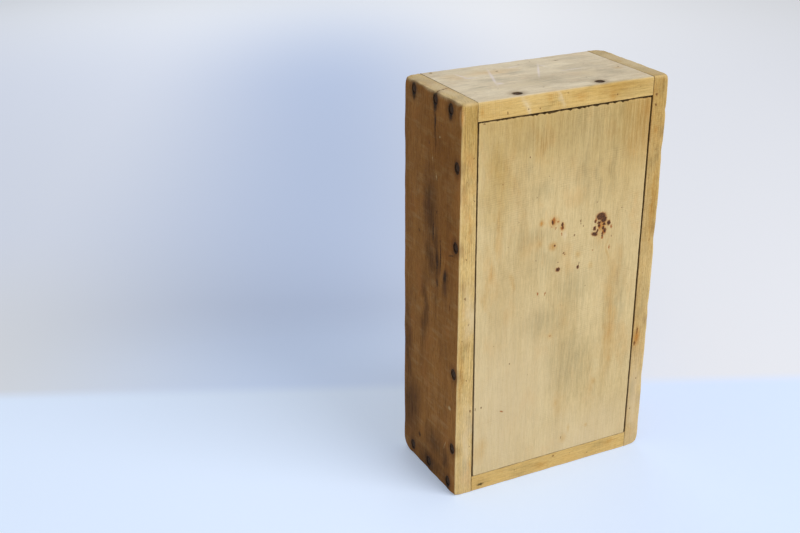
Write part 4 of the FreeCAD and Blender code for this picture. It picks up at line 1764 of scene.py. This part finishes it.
    def bottom_marks(self) -> tuple:
        """The stains on the bottom: two clusters of rust, spots, and broad zones of grey and yellow."""
        s, k = Side, MarkKind
        return (
            *spots(k.YELLOW, s.FRONT, (60, 300, 190, 130), (140, 296, 130, 170), (152, 286, 60, 90),
                   (30, 250, 30, 90)),
            *spots(k.PALE, s.FRONT, (40, 60, 90, 170), (110, 20, 130, 60), (85.6, 193.6, 4, 7)),
            *spots(k.GREY, s.FRONT, (110, 272, 88, 50), (99, 246, 13, 62), (112, 236, 6, 70),
                   (124, 242, 8, 60), (128, 278, 14, 24), (60, 270, 30, 30), (54, 246, 5, 12),
                   (66, 232, 16, 16), (60, 196, 34, 14), (68, 176, 24, 26), (72, 128, 34, 24),
                   (96, 90, 40, 60), (138, 140, 10, 90), (96, 150, 30, 34)),
            *spots(k.TAN, s.FRONT, (30, 205, 6, 50), (24, 168, 6, 50), (20, 32, 10, 20), (60, 262, 10, 24),
                   (148, 274, 34, 76), (100, 296, 60, 16), (130, 110, 9, 80), (124.7, 176, 2.4, 26),
                   (66, 206.6, 5, 6), (86.6, 178.7, 3.4, 4), (97.9, 176.4, 5.5, 6), (64.9, 190.4, 5, 6),
                   (109.5, 165.7, 4, 7), (43.3, 164.8, 5, 12), (77.7, 115.6, 4.4, 5), (85.8, 57.5, 2.4, 5),
                   (115, 30.4, 3.4, 4), (119.5, 67.6, 5, 6), (98.8, 31.8, 2.6, 8), (94, 24.3, 7, 9),
                   (117, 194, 13, 20)),
            *spots(k.HALO, s.FRONT, (76.2, 205.2, 8, 8.6), (83.4, 200.4, 5, 7.4), (76, 186.6, 7, 7.4),
                   (79.8, 204.8, 3, 2.6), (117.6, 195, 7, 9), (65.6, 205.6, 4, 4)),
            *spots(k.RUST, s.FRONT, (75.8, 206.2, 3, 5.2), (83.1, 199.2, 2.8, 3.4), (79.4, 204.8, 1.7, 1.5),
                   (125.6, 193, 2, 3.6), (119.6, 190, 3, 5), (115.4, 194.8, 2.6, 4.4),
                   (118.2, 185.7, 2.2, 2.4), (111.8, 200.2, 1.8, 3), (74.3, 201.4, 1, 1.2),
                   (77.8, 200, 1, 2.4), (110.4, 177.4, 1.4, 1.2), (124.9, 177.2, 1, 4.4), (83, 194.8, 1, 3),
                   (65, 152.1, 1.1, 3, 12), (71.2, 150.7, 1.1, 3.6, -14), (77.4, 115.6, 1.6, 1.4),
                   (38.5, 62.5, 3.4, 1.3, -30)),
            *spots(k.BROWN, s.FRONT, (98.7, 201.9, 1.1, 2.2), (101.2, 197.6, 0.7, 1.3), (99, 200, 0.9, 1.2),
                   (94, 192, 1.1, 1.9, -10), (126.3, 185.3, 0.8, 1.6), (85.4, 179.8, 2.2, 1.2, 30),
                   (81.3, 173.6, 0.9, 1.6), (99.3, 169.2, 0.8, 2.6), (62.6, 178.3, 1.1, 1.1),
                   (39, 193.2, 1, 1), (86.4, 178.7, 0.9, 1), (21, 70.4, 1, 2), (16, 70.1, 1, 2.4),
                   (43.8, 100.7, 1.1, 1.3), (59.6, 88, 0.9, 0.9), (92.4, 25.4, 0.9, 2.2), (54, 256, 0.8, 1),
                   (61, 226, 0.8, 1), (33, 240, 0.9, 1), (17.4, 284.6, 2.6, 1), (47, 210, 0.7, 0.9),
                   (106, 150, 0.8, 0.9), (134, 206, 0.8, 1), (70, 240, 0.7, 0.8), (140, 84, 0.9, 1),
                   (52, 136, 0.8, 0.9), (30, 118, 0.8, 1), (112, 214, 0.7, 0.8)),
            *spots(k.SCAB, s.FRONT, (116.2, 202.4, 7, 5), (118.6, 199.8, 4.6, 4.8),
                   (123.1, 196.3, 2.7, 3.4), (111.5, 199.2, 1.3, 2.2), (114.7, 197.7, 2.8, 1.7),
                   (114.7, 195.6, 1.5, 2.4), (119.1, 196, 2.3, 1.9), (118.5, 193.2, 1.8, 2.8),
                   (120.1, 191, 2.2, 3.2), (111.1, 193.9, 2.3, 2.7), (111.4, 189.5, 4.6, 2.6, -18),
                   (113.6, 191.4, 1.3, 2.8, -20), (118.2, 188, 1.3, 4), (74.9, 205, 1.5, 3.4, 14),
                   (83.2, 201.8, 1.6, 2.8), (83.6, 199.6, 1.2, 1.8), (77.6, 187, 1.2, 1.5),
                   (81.3, 167.8, 3, 2.9), (98.5, 166.4, 1.8, 2.4)),
        )

    def bottom(self) -> Board:
        """The bottom panel: planed, stained by rust, with a torn upper edge."""
        s = Side
        finish = WoodFinish(
            "bottom wood", Grain.UPRIGHT, self.bottom_outer, self.bottom_outer, self.inside,
            heart=(60.0, -210.0, 0.0), ring_spacing=2.6, ring_strength=0.06, streak_strength=0.3,
            fibre_strength=0.2, tool_strength=0.1, weather_cover=0.4, weather_strength=0.2,
            edge_weather_strength=0.1, warm_strength=0.22, fleck_cover=0.12, fleck_strength=0.5,
            grime_and_shade_strength=0.8, wear_strength=0.1, band_strength=0.12, outer_mottle=0.22,
            marks=self.bottom_marks(),
        )
        return TornBoard(
            "bottom_panel", "bottom_wood", finish, s.FRONT,
            {(s.LEFT, s.FRONT): self.bottom_arris, (s.RIGHT, s.FRONT): self.bottom_arris},
            {(s.UPPER, s.FRONT): self.crisp_arris},
            held_by=("left_bottom_nails", "right_bottom_nails", "upper_bottom_nails", "lower_bottom_nails"),
            seed=59, steps_along={0: 0.62, 1: 1.6, 2: 2.6}, buried=(s.LEFT, s.RIGHT, s.UPPER, s.LOWER),
            on_line=s.LEFT, torn_pitch=self.torn_pitch, torn_deepest=self.torn_deepest,
        )

    def top_split(self) -> bmesh.types.BMesh:
        """The room of the split across the left side board's upper end, from a nail to the joint."""
        width, depth, segments, narrowing, floor_share = 0.42, 2.2, 9, 0.6, 0.15
        sway_length, sway_reach = 14.0, 0.35
        start, end = np.array(self.at(-0.8, 36.0, 300.2)), np.array(self.at(13.4, 39.2, 300.2))
        bm = cut_cube((segments, 0, 0))
        waver = Waver(5, 2.6)
        for vert in bm.verts:
            share = vert.co.x + 0.5
            place = start + (end - start) * share
            lower = vert.co.z < 0
            taper = (floor_share if lower else 1.0) * (1.0 - narrowing * share)
            sway = sway_reach * waver.at(np.array([[share * sway_length, 0.0, 0.0]]))[0]
            deep = place[1] + vert.co.y * width * taper + sway
            vert.co = (place[0], deep, place[2] - (depth if lower else 0.0))
        return bm

    def build(self, fasteners: Fasteners) -> None:
        """Makes the boards in the order that they were nailed."""
        for board in (self.left_side, self.right_side, self.upper_end, self.lower_end, self.bottom):
            board().build(fasteners)


@dataclass
class TornBoard(Board):
    """A board whose upper edge a coarse saw tore along its outer arris."""

    torn_pitch: float = 1.3
    torn_deepest: float = 1.0

    def shape(self, points: np.ndarray, fasteners: Fasteners) -> np.ndarray:
        """Gives the board its worn shape, then tears its upper edge.

        Args:
            points: the blank's vertices.
            fasteners: the box's fasteners.

        Returns:
            The shaped vertices.
        """
        jitter, edge_reach, face_start, face_reach = 0.7, 2.1, 2.4, 1.6
        corner_height, corner_width, corner_room = 120.0, 2.0, 0.5
        start = points.copy()
        points = super().shape(points, fasteners)
        draw = np.random.default_rng(self.seed)
        count = int((self.high[0] - self.low[0]) / self.torn_pitch) + 2
        places = self.low[0] + np.arange(count) * self.torn_pitch + draw.uniform(-jitter, jitter, count)
        deep = draw.uniform(0.0, 1.0, count) ** 2.0
        share = np.clip((places - self.low[0]) / (self.high[0] - self.low[0]), 0, 1)
        deep *= self.torn_deepest * np.interp(share, (0, 0.18, 0.42, 0.75, 1), (0.2, 0.45, 1.0, 1.0, 0.5))
        torn = np.interp(start[:, 0], places, deep)
        near_face = np.clip(1 - (self.gap(start, Side.FRONT) - face_start) / face_reach, 0, 1)
        points[:, 2] -= torn * self.nearness(start, Side.UPPER, edge_reach) * near_face
        low_end = self.nearness(start, Side.LOWER, corner_height)
        points[:, 0] += corner_room * low_end * self.nearness(start, Side.LEFT, corner_width)
        return points


@dataclass
class HingedLid:
    """The inset lid that turns on two wire pins, and the two blocks that stop it flush."""

    hinge_radius: float = 3.79
    arris: float = 0.9
    notch_width: float = 27.0
    notch_depth: float = 8.0
    notch_flare: float = 1.2
    notch_overrun: float = 3.0
    running_fit: float = 0.1
    bore_room: float = 1.0
    stop_slant: float = 4.0

    outer: WoodTone = WoodTone(tint(198, 168, 116), tint(170, 136, 86))
    inside: WoodTone = WoodTone(tint(206, 182, 136), tint(186, 156, 106))
    block: WoodTone = WoodTone(tint(206, 180, 128), tint(184, 150, 98))

    def lid(self) -> Board:
        """The lid board, with its hinge edge rounded to the pins' line."""
        s, k = Side, MarkKind
        marks = (
            *spots(k.SHADOW, s.BACK, (146, 150, 14, 50)),
            *spots(k.GREY, s.BACK, (60, 90, 30, 60), (104, 220, 24, 70)),
            *spots(k.TAN, s.BACK, (84, 176, 16, 26), (36, 60, 10, 40)),
            *spots(k.HALO, s.BACK, (42, 236, 8, 10)),
            *spots(k.RUST, s.BACK, (42.6, 236.4, 2, 3)),
            *spots(k.SCAB, s.BACK, (112, 66, 3, 2.6)),
            *spots(k.BROWN, s.BACK, (68, 130, 1.6, 5, 12), (124, 262, 2, 3)),
        )
        finish = WoodFinish(
            "lid wood", Grain.UPRIGHT, self.outer, self.outer, self.inside, heart=(-30.0, 180.0, 0.0),
            ring_spacing=3.4, ring_strength=0.18, streak_strength=0.5, fibre_strength=0.26,
            weather_cover=0.46, weather_strength=0.34, warm_strength=0.22, fleck_cover=0.2,
            grime_and_shade_strength=0.7, wear_strength=0.4, marks=marks,
        )
        bores = (partial(self.bore, f"{end}_lid_pin") for end in ("upper", "lower"))
        return Board(
            "lid_board", "lid_wood", finish, s.BACK,
            {(s.LEFT, s.FRONT): self.hinge_radius, (s.LEFT, s.BACK): self.hinge_radius,
             (s.RIGHT, s.FRONT): self.arris, (s.RIGHT, s.BACK): self.arris}, {}, seed=67, waver_share=0.0,
            hollow=0.08, steps_along={0: 2.0, 2: 2.2}, close_places={2: [136.4, 150.0, 163.4]},
            cutters=(self.notch, *bores),
        )

    def notch(self) -> bmesh.types.BMesh:
        """The room of the half-moon thumb notch, flared where the thumb goes in."""
        low, high = (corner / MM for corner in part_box("lid_board"))
        radius = (self.notch_width**2 / 4 + self.notch_depth**2) / (2 * self.notch_depth)
        thick, over, flare_steps, round_steps = high.y - low.y, self.notch_overrun, 5, 128
        round_off = self.notch_flare
        wide, top = radius + round_off, thick + over
        flare = [
            (radius + round_off * (1 - math.sin(turn)), thick - round_off * (1 - math.cos(turn)))
            for turn in (math.pi / 2 * step / flare_steps for step in range(flare_steps, -1, -1))
        ]
        solid = spun([(0.0, -over), (radius, -over), *flare, (wide, top), (0.0, top)], round_steps)
        centre = Vector((high.x + radius - self.notch_depth, low.y, (low.z + high.z) / 2))
        turn = Vector((0, 1, 0)).to_track_quat("Z", "X").to_matrix().to_4x4()
        bmesh.ops.transform(solid, matrix=Matrix.Translation(centre) @ turn, verts=solid.verts)
        return solid

    def bore(self, node: str) -> bmesh.types.BMesh:
        """The room of one pin in the lid's end grain, in which the pin turns freely."""
        pin = driven_in(node)[0]
        radius, end, steps = pin.head_radius + self.running_fit, pin.length + self.bore_room, 32
        solid = spun([(0.0, 0.0), (radius, 0.0), (radius, end), (0.0, end)], steps)
        bmesh.ops.transform(solid, matrix=pin.placing(), verts=solid.verts)
        return solid

    def stop(self, end: str, outer: Side, seed: int) -> Board:
        """A block that stops the lid flush, sawn at a slant at its inner end.

        Args:
            end: upper or lower.
            outer: the side of the block that looks into the box.
            seed: what makes its wear its own.

        Returns:
            The block as a board.
        """
        finish = WoodFinish(
            f"{end} stop wood", Grain.ACROSS, self.block, self.block, self.block, heart=(30.0, 60.0, 0.0),
            ring_strength=0.2, tool_strength=0.25, weather_cover=0.3, fleck_cover=0.3, wear_strength=0.35,
        )
        return SlantedBlock(
            f"{end}_lid_stop", "stop_wood", finish, outer, {}, {}, held_by=(f"{end}_stop_brads",),
            seed=seed, crisp=0.3,
            hollow=0.06, steps_along={0: 1.2, 1: 1.0, 2: 1.0}, slant=self.stop_slant,
        )

    def build(self, fasteners: Fasteners) -> None:
        """Makes the lid and its stops."""
        self.lid().build(fasteners)
        self.stop("upper", Side.LOWER, 71).build(fasteners)
        self.stop("lower", Side.UPPER, 73).build(fasteners)


@dataclass
class SlantedBlock(Board):
    """A block whose left end is sawn at a slant, away from its end board."""

    slant: float = 4.0

    def shape(self, points: np.ndarray, fasteners: Fasteners) -> np.ndarray:
        """Gives the block its worn shape, then slants its left end.

        Args:
            points: the blank's vertices.
            fasteners: the box's fasteners.

        Returns:
            The shaped vertices.
        """
        start = points.copy()
        points = super().shape(points, fasteners)
        far = 1 - self.gap(start, self.outer) / (self.high[2] - self.low[2])
        points[:, 0] += self.slant * far * self.nearness(start, Side.LEFT, 2.5 * self.slant)
        return points


@dataclass
class Studio:
    """The pale floor, the soft lights and the camera."""

    camera_place: tuple = (-0.4656, -0.7090, 0.5255)
    camera_turn: tuple = (66.197, 0.059, -26.849)
    lens: float = 55.62
    sensor: float = 36.0
    floor_size: float = 9.0
    left_near: tuple = tint(212, 226, 247)
    right_near: tuple = tint(200, 215, 242)
    left_low_wall: tuple = tint(206, 209, 214)
    left_wall: tuple = tint(203, 209, 223)
    # Painted shade: a darker, bluer band on the floor left of the box, lighter where it comes down towards
    # the line.
    painted_shade_beside_low: tuple = tint(198, 214, 242)
    painted_shade_beside: tuple = tint(172, 185, 211)
    right_wall: tuple = tint(214, 216, 223)
    left_far: tuple = tint(215, 218, 223)
    right_far: tuple = tint(221, 222, 225)
    bounce: tuple = tint(226, 226, 224)
    sky: tuple = tint(220, 224, 231)
    fill: tuple = (0.94, 0.97, 1.0, 1.0)
    floor_glow: float = 0.3
    floor_roughness: float = 0.9
    floor_sheen: float = 0.1
    world_strength: float = 0.42

    def floor(self) -> None:
        """The floor, blue-white near the camera and a little greyer beyond the box, with a band of painted
        shade left of the box as the camera sees it.
        """
        line_start, line_end, low_end, far_start, far_end = 0.084, 0.108, 0.5, 1.0, 2.0
        line_slant, beside_low_end = 0.045, 0.28
        left_end, side_start, side_end = -0.5, -0.16, 0.22
        bm = bmesh.new()
        bmesh.ops.create_grid(bm, x_segments=1, y_segments=1, size=self.floor_size / 2)
        mesh = bpy.data.meshes.new("floor")
        bm.to_mesh(mesh)
        bm.free()
        floor = bpy.data.objects.new("floor", mesh)
        bpy.context.scene.collection.objects.link(floor)
        material, recipe = Recipe.for_material("pale floor")
        place = recipe.add("ShaderNodeTexCoord").outputs["Object"]
        turned = recipe.mapped(place, turn=(0.0, 0.0, -math.radians(self.camera_turn[2]) - line_slant))
        split = recipe.add("ShaderNodeSeparateXYZ")
        recipe.feed(split.inputs[0], turned)
        over, ahead = split.outputs["X"], split.outputs["Y"]
        rightwards = recipe.ramp(over, side_start, side_end)
        left = recipe.mix(recipe.ramp(ahead, line_end, low_end), self.left_low_wall, self.left_wall)
        # Painted shade left of the box, lighter towards the line.
        raised = recipe.ramp(ahead, line_end, beside_low_end)
        shaded_beside = recipe.mix(raised, self.painted_shade_beside_low, self.painted_shade_beside)
        wall = recipe.mix(recipe.ramp(over, left_end, side_start), left, shaded_beside)
        wall = recipe.mix(rightwards, wall, self.right_wall)
        far = recipe.mix(rightwards, self.left_far, self.right_far)
        wall = recipe.mix(recipe.ramp(ahead, far_start, far_end), wall, far)
        near = recipe.mix(rightwards, self.left_near, self.right_near)
        colour = recipe.mix(recipe.ramp(ahead, line_start, line_end), near, wall)
        path = recipe.add("ShaderNodeLightPath")
        seen = recipe.maths("MAXIMUM", path.outputs["Is Camera Ray"], path.outputs["Is Glossy Ray"])
        seen = recipe.maths("MAXIMUM", seen, path.outputs["Is Transmission Ray"])
        recipe.surface({
            "Base Color": recipe.mix(seen, self.bounce, colour), "Emission Color": colour,
            "Emission Strength": recipe.maths("MULTIPLY", seen, self.floor_glow),
            "Roughness": self.floor_roughness, "Specular IOR Level": self.floor_sheen,
        })
        mesh.materials.append(material)

    def lamp(
        self, name: str, place: tuple, watts: float, size: float, colour: tuple = (1.0, 1.0, 1.0)
    ) -> None:
        """A soft square lamp that looks at the box's middle.

        Args:
            name: the lamp's name.
            place: where it hangs, in metres.
            watts: how strong it is.
            size: the length of its side, in metres.
            colour: its colour.
        """
        middle = Vector((0, 0, 0.15))
        data = bpy.data.lights.new(name, "AREA")
        data.energy, data.size, data.color = watts, size, colour
        lamp = bpy.data.objects.new(name, data)
        lamp.location = place
        lamp.rotation_euler = (middle - Vector(place)).to_track_quat("-Z", "Y").to_euler()
        bpy.context.scene.collection.objects.link(lamp)

    def world(self) -> None:
        """An even pale sky, which fills the shadows."""
        world = bpy.data.worlds.new("studio")
        world.use_nodes = True
        world.node_tree.nodes.clear()
        recipe = Recipe(world.node_tree)
        path = recipe.add("ShaderNodeLightPath")
        fill, seen = recipe.add("ShaderNodeBackground"), recipe.add("ShaderNodeBackground")
        recipe.feed_all(fill, {"Color": self.fill, "Strength": self.world_strength})
        recipe.feed_all(seen, {"Color": self.sky, "Strength": 1.0})
        blend = recipe.add("ShaderNodeMixShader")
        recipe.feed(blend.inputs["Fac"], path.outputs["Is Camera Ray"])
        recipe.feed(blend.inputs[1], fill.outputs[0])
        recipe.feed(blend.inputs[2], seen.outputs[0])
        output = recipe.add("ShaderNodeOutputWorld")
        recipe.feed(output.inputs["Surface"], blend.outputs[0])
        bpy.context.scene.world = world

    def camera(self) -> None:
        """The camera, where the box was seen from."""
        data = bpy.data.cameras.new("camera")
        data.lens, data.sensor_width = self.lens, self.sensor
        data.clip_start, data.clip_end = 0.02, 50.0
        camera = bpy.data.objects.new("camera", data)
        camera.location = self.camera_place
        camera.rotation_euler = tuple(math.radians(turn) for turn in self.camera_turn)
        bpy.context.scene.collection.objects.link(camera)
        bpy.context.scene.camera = camera

    def build(self) -> None:
        """Sets up the studio."""
        self.camera()
        self.floor()
        self.world()
        self.lamp("key lamp", (0.75, -1.5, 1.35), 34.0, 1.5, (1.0, 0.985, 0.96))
        self.lamp("back lamp", (0.5, 1.6, 0.9), 6.0, 1.2)
        bpy.context.scene.view_settings.view_transform = "Standard"


def main() -> None:
    """Builds the studio, the fasteners and the boards, in order."""
    logging.basicConfig(level=logging.INFO, format="%(message)s")
    Studio().build()
    fasteners = Fasteners()
    fasteners.read()
    fasteners.build()
    Carcase().build(fasteners)
    HingedLid().build(fasteners)


if __name__ == "__main__":
    main()
